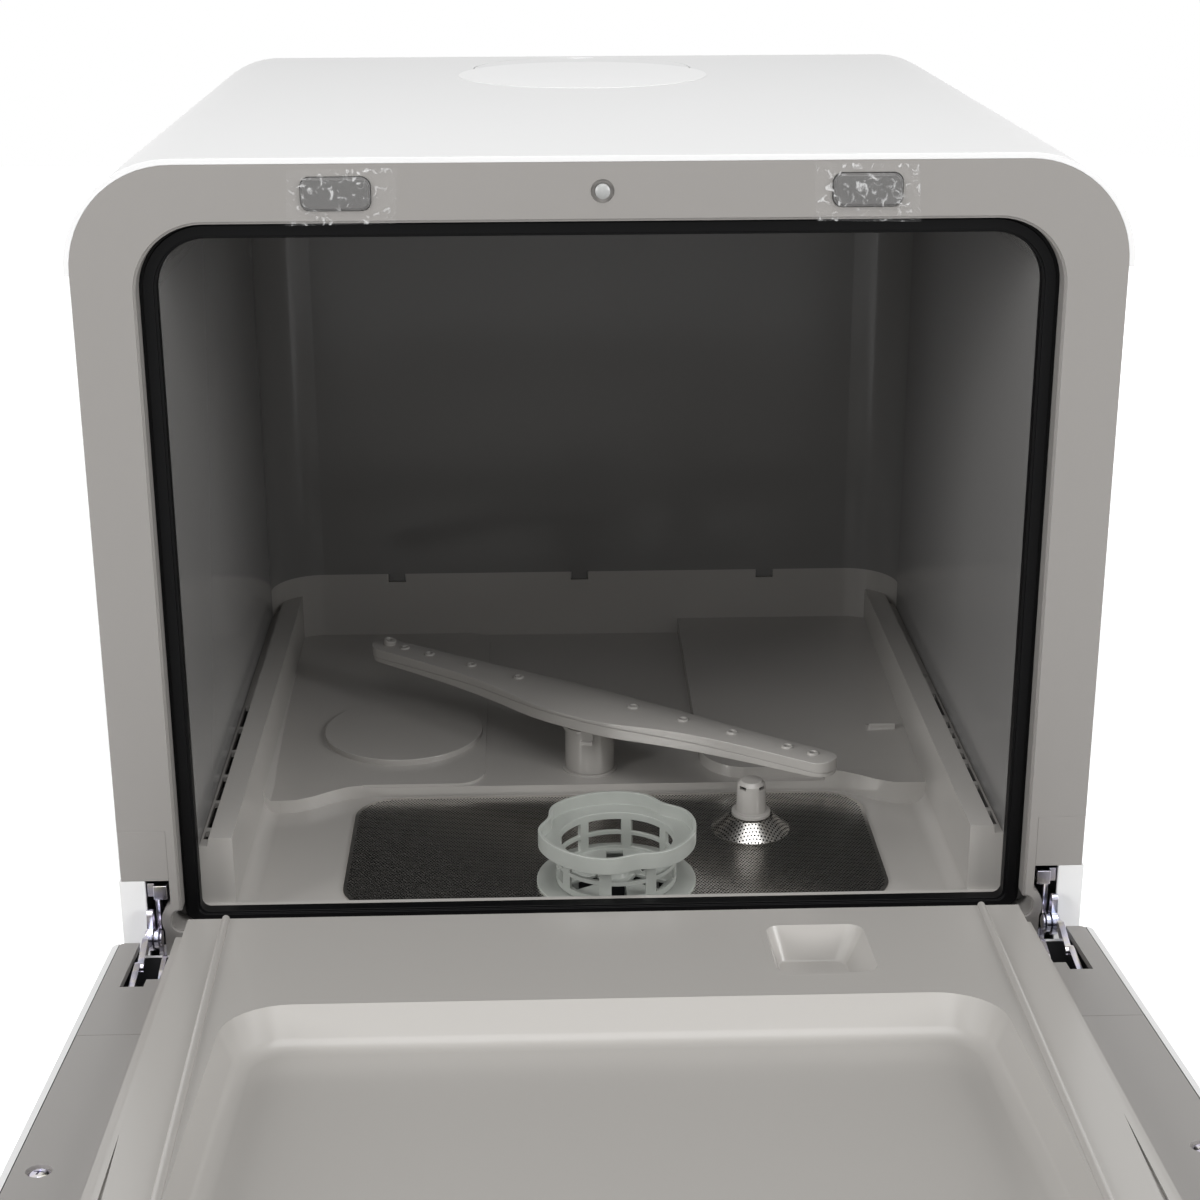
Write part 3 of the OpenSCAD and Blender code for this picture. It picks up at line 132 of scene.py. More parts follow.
class DishwasherSizes(bpy.types.PropertyGroup):
    """Sizes of the soft edges, perforations, screws, film and sticker."""
    edge: size_prop("Moulded edge", "Radius on the edges of the mouldings", 0.7, 0.1, 3)
    fine_edge: size_prop("Fine edge", "Radius on thin and pressed edges", 0.3, 0.05, 1)
    pan_edge: size_prop("Pan edge", "Radius on the edges of the door's pan", 5, 1, 8)
    floor_edge: size_prop("Floor edge", "Radius on the raised parts of the tub's floor", 1.6, 0.3, 4)
    hole_pitch: size_prop("Perforation pitch", "Distance between holes of the filter plate", 1.65, 1, 6)
    hole_radius: size_prop("Perforation radius", "Radius of a hole of the filter plate", 0.5, 0.2, 2)
    hole_margin: size_prop("Perforation margin", "Plain border of the filter plate", 1.7, 0.5, 10)
    screw_radius: size_prop("Screw head radius", "Radius of the pan-head screws", 4.1, 1, 8)
    sticker_radius: size_prop("Sticker radius", "Radius of the bare round sticker on the top", 65, 20, 90)


class DishwasherStage(bpy.types.PropertyGroup):
    """Light and background."""
    key: FloatProperty(
        name="Key light", description="Power of the overhead softbox", default=16.5, min=0, unit="POWER")
    side: FloatProperty(
        name="Side lights", description="Power of each softbox beside the door", default=26.0, min=0,
        unit="POWER")
    front: FloatProperty(
        name="Front light", description="Power of the softbox above the camera", default=2.5, min=0,
        unit="POWER")
    world: FloatProperty(
        name="Room light", description="Strength of the even white room", default=0.12, min=0)


# Materials

MADE = {}


def add_node(tree, kind, settings=None, inputs=None, links=None):
    """One shader or geometry node with its settings, its input values and what feeds it."""
    node = tree.nodes.new(kind)
    for key, value in (settings or {}).items():
        setattr(node, key, value)
    for key, value in (inputs or {}).items():
        node.inputs[key].default_value = value
    for key, source in (links or {}).items():
        tree.links.new(source, node.inputs[key])
    return node


def finish_material(name, shader, build=None):
    """A material whose constant values sit on the shader's own sockets. build adds its pattern."""
    if name in MADE:
        return MADE[name]
    material = bpy.data.materials.new(name)
    material.use_nodes = True
    tree = material.node_tree
    bsdf = tree.nodes["Principled BSDF"]
    for key, value in shader.items():
        bsdf.inputs[key].default_value = value
    if build:
        build(tree, bsdf)
    MADE[name] = material
    return material


def spark_texture(tree, bsdf, grain_mm, height_mm, strength=1.0):
    """Fine spark-eroded grain of a mould, as bump in real size."""
    coord = add_node(tree, "ShaderNodeTexCoord")
    noise = add_node(
        tree, "ShaderNodeTexNoise", {"noise_dimensions": "3D"},
        {"Scale": 1000 / grain_mm / 2, "Detail": 2.0, "Roughness": 0.6},
        {"Vector": coord.outputs["Object"]},
    )
    bump = add_node(
        tree, "ShaderNodeBump", None,
        {"Strength": strength, "Distance": height_mm * MM},
        {"Height": noise.outputs["Fac"]},
    )
    tree.links.new(bump.outputs["Normal"], bsdf.inputs["Normal"])
    return coord


def uneven(tree, coord, scale, low, high, socket):
    """Slow change of a value over the surface, between low and high, with scale patches to the metre."""
    noise = add_node(
        tree, "ShaderNodeTexNoise", None, {"Scale": scale, "Detail": 3.0},
        {"Vector": coord.outputs["Object"]},
    )
    ramp = add_node(
        tree, "ShaderNodeMapRange", None,
        {"From Min": 0.1, "From Max": 0.9, "To Min": low, "To Max": high},
        {"Value": noise.outputs["Fac"]},
    )
    tree.links.new(ramp.outputs["Result"], socket)


def satin(name, shader, grain, change):
    """A finish with a fine mould grain as bump and a slowly changing roughness."""
    def build(tree, bsdf):
        coord = spark_texture(tree, bsdf, *grain)
        uneven(tree, coord, *change, bsdf.inputs["Roughness"])
    return finish_material(name, shader, build)


def casing_paint():
    """Powder-coated steel: smooth, white, with a soft low sheen that keeps the shoulders readable."""
    def build(tree, bsdf):
        coord = add_node(tree, "ShaderNodeTexCoord")
        uneven(tree, coord, 4, 0.27, 0.31, bsdf.inputs["Roughness"])
    c = bpy.context.scene.dishwasher_colours
    return finish_material("powder_coated_white", {
        "Base Color": c.casing, "IOR": 1.5, "Specular IOR Level": 0.4}, build)


def trim_plastic():
    """ABS moulded in a spark-eroded mould: a warm grey satin that blurs reflections."""
    c = bpy.context.scene.dishwasher_colours
    return satin("moulded_abs_warm_grey", {
        "Base Color": c.trim, "IOR": 1.53, "Specular IOR Level": 0.45}, (0.7, 0.02, 0.5), (22, 0.32, 0.37))


def pad_plastic():
    """Latch pads in moulded ABS: darker than the frame, satin, with a bright rounded rim."""
    return satin("moulded_abs_mid_grey", {
        "Base Color": linear("#5C5B5A"), "IOR": 1.53}, (0.7, 0.02, 0.4), (22, 0.34, 0.4))


def plunger_plastic():
    """Natural acetal: pale and waxy, so the plunger's crown stands out of the frame."""
    return satin("moulded_acetal_natural", {
        "Base Color": linear("#A2A3A2"), "IOR": 1.48}, (0.5, 0.01, 0.2), (40, 0.28, 0.32))


def liner_plastic():
    """Polypropylene moulding: warm light grey, satin, with faint flow marks."""
    c = bpy.context.scene.dishwasher_colours
    return satin("moulded_polypropylene_grey", {
        "Base Color": c.liner, "IOR": 1.49, "Specular IOR Level": 0.5}, (0.8, 0.01, 0.3), (16, 0.22, 0.27))


def tub_plastic():
    """Polished polypropylene sleeve: dark grey with long soft highlights in its corners."""
    c = bpy.context.scene.dishwasher_colours
    return satin("polished_polypropylene_dark", {
        "Base Color": c.tub, "IOR": 1.49, "Specular IOR Level": 0.26}, (0.6, 0.005, 0.05), (6, 0.15, 0.16))


def gasket_rubber():
    """Extruded EPDM: black, with a dull sheen on its lip."""
    def build(tree, bsdf):
        spark_texture(tree, bsdf, 0.5, 0.03, 0.4)
    c = bpy.context.scene.dishwasher_colours
    return finish_material("extruded_epdm_black", {
        "Base Color": c.rubber, "Roughness": 0.42, "IOR": 1.5, "Specular IOR Level": 0.14}, build)


def stainless_sheet():
    """Rolled stainless sheet: bright grey metal whose lengthwise grain stretches its highlights."""
    def build(tree, bsdf):
        # Grain lines 25 mm long and some half a millimetre wide
        coord = add_node(tree, "ShaderNodeTexCoord")
        stretch = add_node(tree, "ShaderNodeMapping", None, {"Scale": (40, 1800, 1800)},
                           {"Vector": coord.outputs["Object"]})
        noise = add_node(tree, "ShaderNodeTexNoise", None, {"Scale": 1.0, "Detail": 2.0},
                         {"Vector": stretch.outputs["Vector"]})
        bump = add_node(tree, "ShaderNodeBump", None, {"Strength": 0.3, "Distance": 0.02 * MM},
                        {"Height": noise.outputs["Fac"]})
        tree.links.new(bump.outputs["Normal"], bsdf.inputs["Normal"])
    c = bpy.context.scene.dishwasher_colours
    return finish_material("rolled_stainless_steel", {
        "Base Color": c.steel, "Metallic": 1.0, "Roughness": 0.24}, build)


def hole_shadow():
    """Dark sump seen through a perforation, laid on the plate as painted shade."""
    return finish_material("perforation_shadow", {
        "Base Color": linear("#0C0C0B"), "Roughness": 0.8, "Specular IOR Level": 0.1})


def zinc_plate():
    """Blue-passivated zinc on pressed steel: bright, with pale violet and yellow bands."""
    def build(tree, bsdf):
        # Bands about 11 mm apart
        coord = add_node(tree, "ShaderNodeTexCoord")
        noise = add_node(tree, "ShaderNodeTexNoise", None, {"Scale": 90.0, "Detail": 3.0, "Distortion": 1.2},
                         {"Vector": coord.outputs["Object"]})
        ramp = add_node(tree, "ShaderNodeValToRGB", None, None, {"Fac": noise.outputs["Fac"]})
        stops = ramp.color_ramp.elements
        stops[0].position, stops[0].color = 0.35, linear("#BCC0D0")
        stops[1].position, stops[1].color = 0.68, linear("#DEDBCE")
        middle = stops.new(0.5)
        middle.color = linear("#D3CFDC")
        tree.links.new(ramp.outputs["Color"], bsdf.inputs["Base Color"])
        bump = add_node(tree, "ShaderNodeBump", None, {"Strength": 0.15, "Distance": 0.05 * MM},
                        {"Height": noise.outputs["Fac"]})
        tree.links.new(bump.outputs["Normal"], bsdf.inputs["Normal"])
    return finish_material("zinc_plated_steel", {"Metallic": 1.0, "Roughness": 0.18}, build)


def cup_plastic():
    """Natural polypropylene, tinted: lets a little light through at its thin ribs."""
    def build(tree, bsdf):
        spark_texture(tree, bsdf, 0.8, 0.02, 0.4)
    c = bpy.context.scene.dishwasher_colours
    return finish_material("tinted_polypropylene_translucent", {
        "Base Color": c.cup, "Roughness": 0.3, "IOR": 1.49,
        "Subsurface Weight": 0.15, "Subsurface Radius": (0.003, 0.003, 0.0028),
        "Subsurface Scale": 1.0}, build)


def dark_plastic():
    """Glass-filled nylon: dark, matt, faintly mottled."""
    c = bpy.context.scene.dishwasher_colours
    return satin("glass_filled_nylon_black", {
        "Base Color": c.dark, "IOR": 1.53}, (0.6, 0.03, 0.5), (60, 0.5, 0.62))


def tank_plastic():
    """Blow-moulded polyethylene: milky, with soft light inside its walls."""
    def build(tree, bsdf):
        spark_texture(tree, bsdf, 3.0, 0.05, 0.4)
    c = bpy.context.scene.dishwasher_colours
    return finish_material("blow_moulded_polyethylene", {
        "Base Color": c.tank, "Roughness": 0.38, "IOR": 1.51,
        "Subsurface Weight": 0.3, "Subsurface Radius": (0.006, 0.006, 0.006), "Subsurface Scale": 1.0}, build)


def window_plastic():
    """Tinted acrylic window: near black and glossy."""
    def build(tree, bsdf):
        spark_texture(tree, bsdf, 6.0, 0.01, 0.1)
    return finish_material("tinted_acrylic", {
        "Base Color": linear("#0E0F12"), "Roughness": 0.06, "IOR": 1.49}, build)


def circuit_board():
    """Solder-masked laminate with a fine grid of tracks."""
    def build(tree, bsdf):
        # Cells about 8 mm long
        coord = add_node(tree, "ShaderNodeTexCoord")
        bricks = add_node(tree, "ShaderNodeTexBrick", None, {
            "Scale": 120.0, "Color1": linear("#2C5B3C"), "Color2": linear("#2F6340"),
            "Mortar": linear("#3E7A52"), "Mortar Size": 0.03}, {"Vector": coord.outputs["Object"]})
        tree.links.new(bricks.outputs["Color"], bsdf.inputs["Base Color"])
    return finish_material("solder_masked_laminate", {"Roughness": 0.35, "IOR": 1.55}, build)


def film():
    """Cast polyester film: clear, seen only by its glints and by the pale lines along its wrinkles, which are
    painted highlight.
    """
    def build(tree, bsdf):
        # Wrinkles about 4 mm apart
        coord = add_node(tree, "ShaderNodeTexCoord")
        waves = add_node(tree, "ShaderNodeTexNoise", None, {"Scale": 240.0, "Detail": 2.0, "Distortion": 1.6},
                         {"Vector": coord.outputs["Object"]})
        # Painted highlight: the white film grows opaque along the wrinkle ridges
        wrinkle_highlight = add_node(tree, "ShaderNodeMapRange", None, {
            "From Min": 0.58, "From Max": 0.72, "To Min": 0.03, "To Max": 0.5},
            {"Value": waves.outputs["Fac"]})
        tree.links.new(wrinkle_highlight.outputs["Result"], bsdf.inputs["Alpha"])
        bump = add_node(tree, "ShaderNodeBump", None, {"Strength": 0.6, "Distance": 0.25 * MM},
                        {"Height": waves.outputs["Fac"]})
        tree.links.new(bump.outputs["Normal"], bsdf.inputs["Normal"])
    return finish_material("clear_polyester_film", {
        "Base Color": linear("#F4F4F4"), "Roughness": 0.12, "IOR": 1.6, "Specular IOR Level": 0.8}, build)


def label_paper():
    """Clear-coated label stock without print: a shade lighter than the paint, with a satin face."""
    return satin("clear_coated_label", {
        "Base Color": linear("#F3F3F3"), "IOR": 1.46}, (2.0, 0.01, 0.2), (30, 0.36, 0.42))


FINISH_OF_SLOT = {
    "white_casing": casing_paint, "white_plastic": trim_plastic, "frame_plastic": trim_plastic,
    "grey_plastic": liner_plastic, "filter_plastic": cup_plastic, "tub_plastic": tub_plastic,
    "tank_plastic": tank_plastic, "dark_plastic": dark_plastic, "rubber": gasket_rubber,
    "stainless": stainless_sheet, "zinc": zinc_plate, "window": window_plastic,
    "circuit_board": circuit_board,
}
SLOT_OF_NODE = {s["node"]: s["material_slot"] for s in frame["record"]["subparts"]}


# Shapes

def set_material(obj, material):
    obj.data.materials.clear()
    obj.data.materials.append(material)


def dress_node(name, material=None):
    """Gives a CAD node its finish and leaves its shape alone."""
    node = NODES[name]
    made = material or FINISH_OF_SLOT[SLOT_OF_NODE[name]]()
    for slot in node.material_slots:
        slot.material = made


def new_piece(name, mesh, body, material):
    """A finished mesh as a piece that rides on a body."""
    obj = bpy.data.objects.new(name, mesh)
    bpy.context.scene.collection.objects.link(obj)
    if material is not None:
        set_material(obj, material)
    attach(obj, body)
    return obj


def plain_mesh(name, mesh, kind, settings):
    """Runs one modifier on a mesh and returns the result as a plain mesh."""
    holder = bpy.data.objects.new(name + "_work", mesh)
    bpy.context.scene.collection.objects.link(holder)
    modifier = holder.modifiers.new(name, kind)
    for key, value in settings.items():
        setattr(modifier, key, value)
    bpy.context.view_layer.update()
    result = bpy.data.meshes.new_from_object(holder.evaluated_get(bpy.context.evaluated_depsgraph_get()))
    bpy.data.objects.remove(holder)
    result.name = name
    return result


def sharp_edges(work, degrees):
    work.edges.index_update()
    return [e for e in work.edges if e.is_manifold and e.calc_face_angle(0) > math.radians(degrees)]


def edge_groups(edges):
    """Splits edges into groups that share no corner, so that a narrow spot limits its own group only."""
    left = dict.fromkeys(edges)
    groups = []
    while left:
        group, front = [], [left.popitem()[0]]
        while front:
            edge = front.pop()
            group.append(edge)
            for corner in edge.verts:
                for other in corner.link_edges:
                    if other in left:
                        del left[other]
                        front.append(other)
        groups.append(group)
    return groups


def round_edges(work, edges, radius, segments):
    for group in edge_groups(edges):
        bmesh.ops.bevel(
            work, geom=group, offset=radius, offset_type="OFFSET", segments=segments, profile=0.5,
            affect="EDGES", clamp_overlap=True)


def mark_smooth(work, degrees):
    """Smooth faces, with a hard line along every edge that turns by more than the angle."""
    for face in work.faces:
        face.smooth = True
    for edge in work.edges:
        edge.smooth = not (edge.is_manifold and edge.calc_face_angle(0) > math.radians(degrees))


def edge_middle(edge):
    return (edge.verts[0].co + edge.verts[1].co) / 2


def folded_area(work):
    """Area that lies double where a face folds over itself."""
    flat = {}
    for loops in work.calc_loop_triangles():
        a, b, c = (loop.vert.co for loop in loops)
        flat[loops[0].face] = flat.get(loops[0].face, 0.0) + (b - a).cross(c - a).length / 2
    return sum(max(0.0, area - face.calc_area()) for face, area in flat.items())


def soften(name, radius, segments=2, angle=32, paint=None, wide=None, finish=None, keep=None):
    """Stands in for a CAD node with a copy whose sharp edges are rounded to the given radius.

    paint(mesh) may give some faces a second material. wide is a test of an edge's middle, with a
    larger radius and its segments. finish makes another material than the slot's own. keep is a
    test of an edge's middle for edges that stay sharp, such as those that other pieces hide. Where the
    radius is too much for a thin wall and folds a face, it is lessened step by step."""
    source = NODES[name]
    mesh = source.data.copy()
    ease = 1.0
    for _ in range(6):
        work = bmesh.new()
        work.from_mesh(source.data)
        bmesh.ops.remove_doubles(work, verts=work.verts, dist=0.005 * MM)
        bmesh.ops.dissolve_limit(
            work, angle_limit=math.radians(0.8), verts=work.verts, edges=work.edges,
            use_dissolve_boundaries=False)
        if wide:
            test, wide_radius, wide_segments = wide
            chosen = [e for e in sharp_edges(work, angle) if test(edge_middle(e))]
            round_edges(work, chosen, ease * wide_radius, wide_segments)
        chosen = sharp_edges(work, angle)
        if keep:
            chosen = [e for e in chosen if not keep(edge_middle(e))]
        round_edges(work, chosen, ease * radius, segments)
        bmesh.ops.remove_doubles(work, verts=work.verts, dist=0.002 * MM)
        bmesh.ops.dissolve_degenerate(work, edges=work.edges, dist=0.001 * MM)
        if folded_area(work) < FOLD_LIMIT:
            break
        work.free()
        ease *= 0.75
    else:
        raise RuntimeError(name + " folds at every radius")
    mark_smooth(work, degrees=50)
    work.to_mesh(mesh)
    work.free()
    mesh = plain_mesh(name + "_softened", mesh, "WEIGHTED_NORMAL", {"keep_sharp": True, "weight": 90})
    piece = new_piece(name + "_softened", mesh, source["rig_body"],
                      (finish or FINISH_OF_SLOT[SLOT_OF_NODE[name]])())
    if paint:
        paint(mesh)
    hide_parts(name)


def door_shut(point):
    """Turns a point of the open door back to the closed door: x, h and s in millimetres."""
    shut = Matrix.Rotation(-OPEN_ANGLE, 3, "X") @ (Vector(point) - PIVOT) + PIVOT
    return shut.x / MM, (shut.y - FRONT_Y) / MM + BAND_STANDOFF, shut.z / MM - DOOR_FOOT


def on_raised_floor(point):
    """Whether a point lies on an edge of the tub floor's raised field, disc or platform."""
    half_width, front, back, foot, top = 158, 100, 306, 94, 118
    local_y = (point.y - FRONT_Y) / MM
    return abs(point.x) < half_width * MM and front < local_y < back and foot * MM < point.z < top * MM


def on_side_ledge(point):
    """Whether a point lies on the tub base's outer ledges, which the sleeve covers."""
    inner, foot, top = 176, 126, 129.5
    return abs(point.x) > inner * MM and foot * MM < point.z < top * MM


def in_pan(point):
    """Whether a point lies on the upper or lower edge of the pan in the door's liner."""
    half_width, lower, upper = 160, 88, 296
    x, _, s = door_shut(point)
    return abs(x) < half_width and lower < s < upper


def paint_door_cavity_shade(mesh):
    """Inner faces of the door's shell, seen only through the hinge slots, take the dark nylon as painted
    shade of the closed cavity.
    """
    # Painted shade: the dark nylon stands for the shade inside the door's closed cavity
    mesh.materials.append(dark_plastic())
    low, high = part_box("door_shell")
    wall = 2.4
    inner = (high.x - low.x) / 2 / MM - wall
    back, front, top = -27.6, -0.9, 326.9
    middle = Vector((0, -14, 164))
    grip_half, grip_foot = 52, 296
    for face in mesh.polygons:
        x, h, s = door_shut(face.center)
        facing = Matrix.Rotation(-OPEN_ANGLE, 3, "X") @ face.normal
        inwards = facing.dot(Vector((x, h, s)) - middle) < 0
        in_grip = abs(x) < grip_half and s > grip_foot
        if inwards and not in_grip and abs(x) < inner and back < h < front and wall < s < top:
            # Painted shade: this inner face takes the dark second material
            face.material_index = 1


def door_place(s_mm, h_mm):
    """Point of the open door: s up from its hinge end and h out of its side bands, both when shut."""
    shut = Vector((0, FRONT_Y + (h_mm - BAND_STANDOFF) * MM, (DOOR_FOOT + s_mm) * MM))
    return PIVOT + Matrix.Rotation(OPEN_ANGLE, 3, "X") @ (shut - PIVOT)


# Repeats

def new_tree(name, inputs):
    """A Geometry Nodes tree with a geometry input and output and the named inputs."""
    tree = bpy.data.node_groups.new(name, "GeometryNodeTree")
    tree.interface.new_socket("Geometry", in_out="INPUT", socket_type="NodeSocketGeometry")
    for key, kind in inputs.items():
        tree.interface.new_socket(key, in_out="INPUT", socket_type=kind)
    tree.interface.new_socket("Geometry", in_out="OUTPUT", socket_type="NodeSocketGeometry")
    return tree, add_node(tree, "NodeGroupInput"), add_node(tree, "NodeGroupOutput")


def close_tree(tree, instances, given, out):
    """Turns the instances into real geometry with the given material, as the tree's output."""
    real = add_node(tree, "GeometryNodeRealizeInstances", None, None, {
        "Geometry": instances.outputs["Instances"]})
    painted = add_node(tree, "GeometryNodeSetMaterial", None, None, {
        "Geometry": real.outputs["Geometry"], "Material": given.outputs["Material"]})
    tree.links.new(painted.outputs["Geometry"], out.inputs["Geometry"])
    return tree


def math_node(tree, operation, a, b):
    """Result of one operation on two numbers or sockets."""
    node = add_node(tree, "ShaderNodeMath", {"operation": operation})
    for i, value in enumerate((a, b)):
        if isinstance(value, (int, float)):
            node.inputs[i].default_value = value
        elif value is not None:
            tree.links.new(value, node.inputs[i])
    return node.outputs["Value"]


def grown(name, source_mesh, tree, values):
    """Runs a tree on a mesh and returns the result as a plain mesh."""
    holder = bpy.data.objects.new(name + "_source", source_mesh)
    bpy.context.scene.collection.objects.link(holder)
    modifier = holder.modifiers.new(name, "NODES")
    modifier.node_group = tree
    for item in tree.interface.items_tree:
        if item.item_type == "SOCKET" and item.in_out == "INPUT" and item.name in values:
            modifier[item.identifier] = values[item.name]
    bpy.context.view_layer.update()
    evaluated = holder.evaluated_get(bpy.context.evaluated_depsgraph_get())
    mesh = bpy.data.meshes.new_from_object(evaluated)
    mesh.name = name
    holder.modifiers.remove(modifier)
    bpy.data.objects.remove(holder)
    if not mesh.polygons:
        raise RuntimeError(name + " grew no faces")
    return mesh


def perforation_tree():
    """Round discs standing for holes, in a close hexagonal grid over the upper side of a sheet, clear of its
    edges.
    """
    tree, given, out = new_tree("perforations", {
        "Pitch": "NodeSocketFloat", "Hole Radius": "NodeSocketFloat", "Margin": "NodeSocketFloat",
        "Material": "NodeSocketMaterial"})
    pitch = given.outputs["Pitch"]
    sheet = add_node(tree, "GeometryNodeMergeByDistance", None, {"Distance": 0.005 * MM},
                     {"Geometry": given.outputs["Geometry"]}).outputs["Geometry"]
    box = add_node(tree, "GeometryNodeBoundBox", None, None, {"Geometry": sheet})
    low = add_node(tree, "ShaderNodeSeparateXYZ", None, None, {"Vector": box.outputs["Min"]})
    high = add_node(tree, "ShaderNodeSeparateXYZ", None, None, {"Vector": box.outputs["Max"]})
    row_pitch = math_node(tree, "MULTIPLY", pitch, math.sqrt(3) / 2)
    span_x = math_node(tree, "SUBTRACT", high.outputs["X"], low.outputs["X"])
    span_y = math_node(tree, "SUBTRACT", high.outputs["Y"], low.outputs["Y"])
    columns = math_node(tree, "FLOOR", math_node(tree, "DIVIDE", span_x, pitch), None)
    rows = math_node(tree, "FLOOR", math_node(tree, "DIVIDE", span_y, row_pitch), None)
    grid = add_node(tree, "GeometryNodeMeshGrid", None, None, {
        "Size X": math_node(tree, "MULTIPLY", columns, pitch),
        "Size Y": math_node(tree, "MULTIPLY", rows, row_pitch),
        "Vertices X": math_node(tree, "ADD", columns, 1.0),
        "Vertices Y": math_node(tree, "ADD", rows, 1.0)})
    row = math_node(tree, "MODULO", add_node(tree, "GeometryNodeInputIndex").outputs["Index"],
                    math_node(tree, "ADD", rows, 1.0))
    shift_x = math_node(tree, "MULTIPLY", math_node(tree, "MODULO", row, 2.0),
                        math_node(tree, "MULTIPLY", pitch, 0.5))
    mid_x = math_node(tree, "MULTIPLY", math_node(tree, "ADD", high.outputs["X"], low.outputs["X"]), 0.5)
    mid_y = math_node(tree, "MULTIPLY", math_node(tree, "ADD", high.outputs["Y"], low.outputs["Y"]), 0.5)
    above = add_node(tree, "ShaderNodeCombineXYZ", None, None, {
        "X": math_node(tree, "ADD", mid_x, shift_x), "Y": mid_y,
        "Z": math_node(tree, "ADD", high.outputs["Z"], 5 * MM)})
    raised = add_node(tree, "GeometryNodeSetPosition", None, None, {
        "Geometry": grid.outputs["Mesh"], "Offset": above.outputs["Vector"]})
    ray = add_node(tree, "GeometryNodeRaycast", None, {"Ray Length": 0.05, "Ray Direction": (0, 0, -1)},
                   {"Target Geometry": sheet})
    angle = add_node(tree, "GeometryNodeInputMeshEdgeAngle")
    rims = add_node(tree, "GeometryNodeSeparateGeometry", {"domain": "EDGE"}, None, {
        "Geometry": sheet,
        "Selection": math_node(tree, "GREATER_THAN", angle.outputs["Unsigned Angle"], math.radians(60))})
    near = add_node(tree, "GeometryNodeProximity", {"target_element": "EDGES"}, None, {
        "Geometry": rims.outputs["Selection"], "Sample Position": ray.outputs["Hit Position"]})
    clear = math_node(tree, "GREATER_THAN", near.outputs["Distance"],
                      math_node(tree, "ADD", given.outputs["Margin"], given.outputs["Hole Radius"]))
    kept = math_node(tree, "MULTIPLY", clear, ray.outputs["Is Hit"])
    facing = add_node(
        tree, "GeometryNodeStoreNamedAttribute", {"data_type": "FLOAT_VECTOR", "domain": "POINT"},
        {"Name": "facing"}, {"Geometry": raised.outputs["Geometry"], "Value": ray.outputs["Hit Normal"]})
    left_over = add_node(tree, "GeometryNodeDeleteGeometry", {"domain": "POINT"}, None, {
        "Geometry": facing.outputs["Geometry"], "Selection": math_node(tree, "LESS_THAN", kept, 0.5)})
    lift = add_node(tree, "ShaderNodeVectorMath", {"operation": "MULTIPLY_ADD"}, {1: (0.03 * MM,) * 3},
                    {0: ray.outputs["Hit Normal"], 2: ray.outputs["Hit Position"]})
    laid = add_node(tree, "GeometryNodeSetPosition", None, None, {
        "Geometry": left_over.outputs["Geometry"], "Position": lift.outputs["Vector"]})
    stored = add_node(tree, "GeometryNodeInputNamedAttribute", {"data_type": "FLOAT_VECTOR"},
                      {"Name": "facing"})
    turn = add_node(tree, "FunctionNodeAlignRotationToVector", {"axis": "Z"}, None,
                    {"Vector": stored.outputs["Attribute"]})
    hole = add_node(tree, "GeometryNodeMeshCircle", {"fill_type": "NGON"}, {"Vertices": 6},
                    {"Radius": given.outputs["Hole Radius"]})
    holes = add_node(tree, "GeometryNodeInstanceOnPoints", None, None, {
        "Points": laid.outputs["Geometry"], "Instance": hole.outputs["Mesh"],
        "Rotation": turn.outputs["Rotation"]})
    return close_tree(tree, holes, given, out)


def screw_tree():
    """One screw on every point, facing the stored way and each turned as its thread stopped."""
    tree, given, out = new_tree("screws", {
        "Screw": "NodeSocketObject", "Facing": "NodeSocketVector", "Seed": "NodeSocketInt",
        "Material": "NodeSocketMaterial"})
    pattern = add_node(tree, "GeometryNodeObjectInfo", None, None, {"Object": given.outputs["Screw"]})
    stopped = add_node(tree, "FunctionNodeRandomValue", {"data_type": "FLOAT"}, {"Max": 6.283},
                       {"Seed": given.outputs["Seed"]})
    about = add_node(tree, "ShaderNodeCombineXYZ", None, None, {"Z": stopped.outputs[1]})
    spin = add_node(tree, "FunctionNodeEulerToRotation", None, None, {"Euler": about.outputs["Vector"]})
    turn = add_node(tree, "FunctionNodeAlignRotationToVector", {"axis": "Z"}, None,
                    {"Vector": given.outputs["Facing"]})
    both = add_node(tree, "FunctionNodeRotateRotation", {"rotation_space": "LOCAL"}, None, {
        "Rotation": turn.outputs["Rotation"], "Rotate By": spin.outputs["Rotation"]})
    screws = add_node(tree, "GeometryNodeInstanceOnPoints", None, None, {
        "Points": given.outputs["Geometry"], "Instance": pattern.outputs["Geometry"],
        "Rotation": both.outputs["Rotation"]})
    return close_tree(tree, screws, given, out)


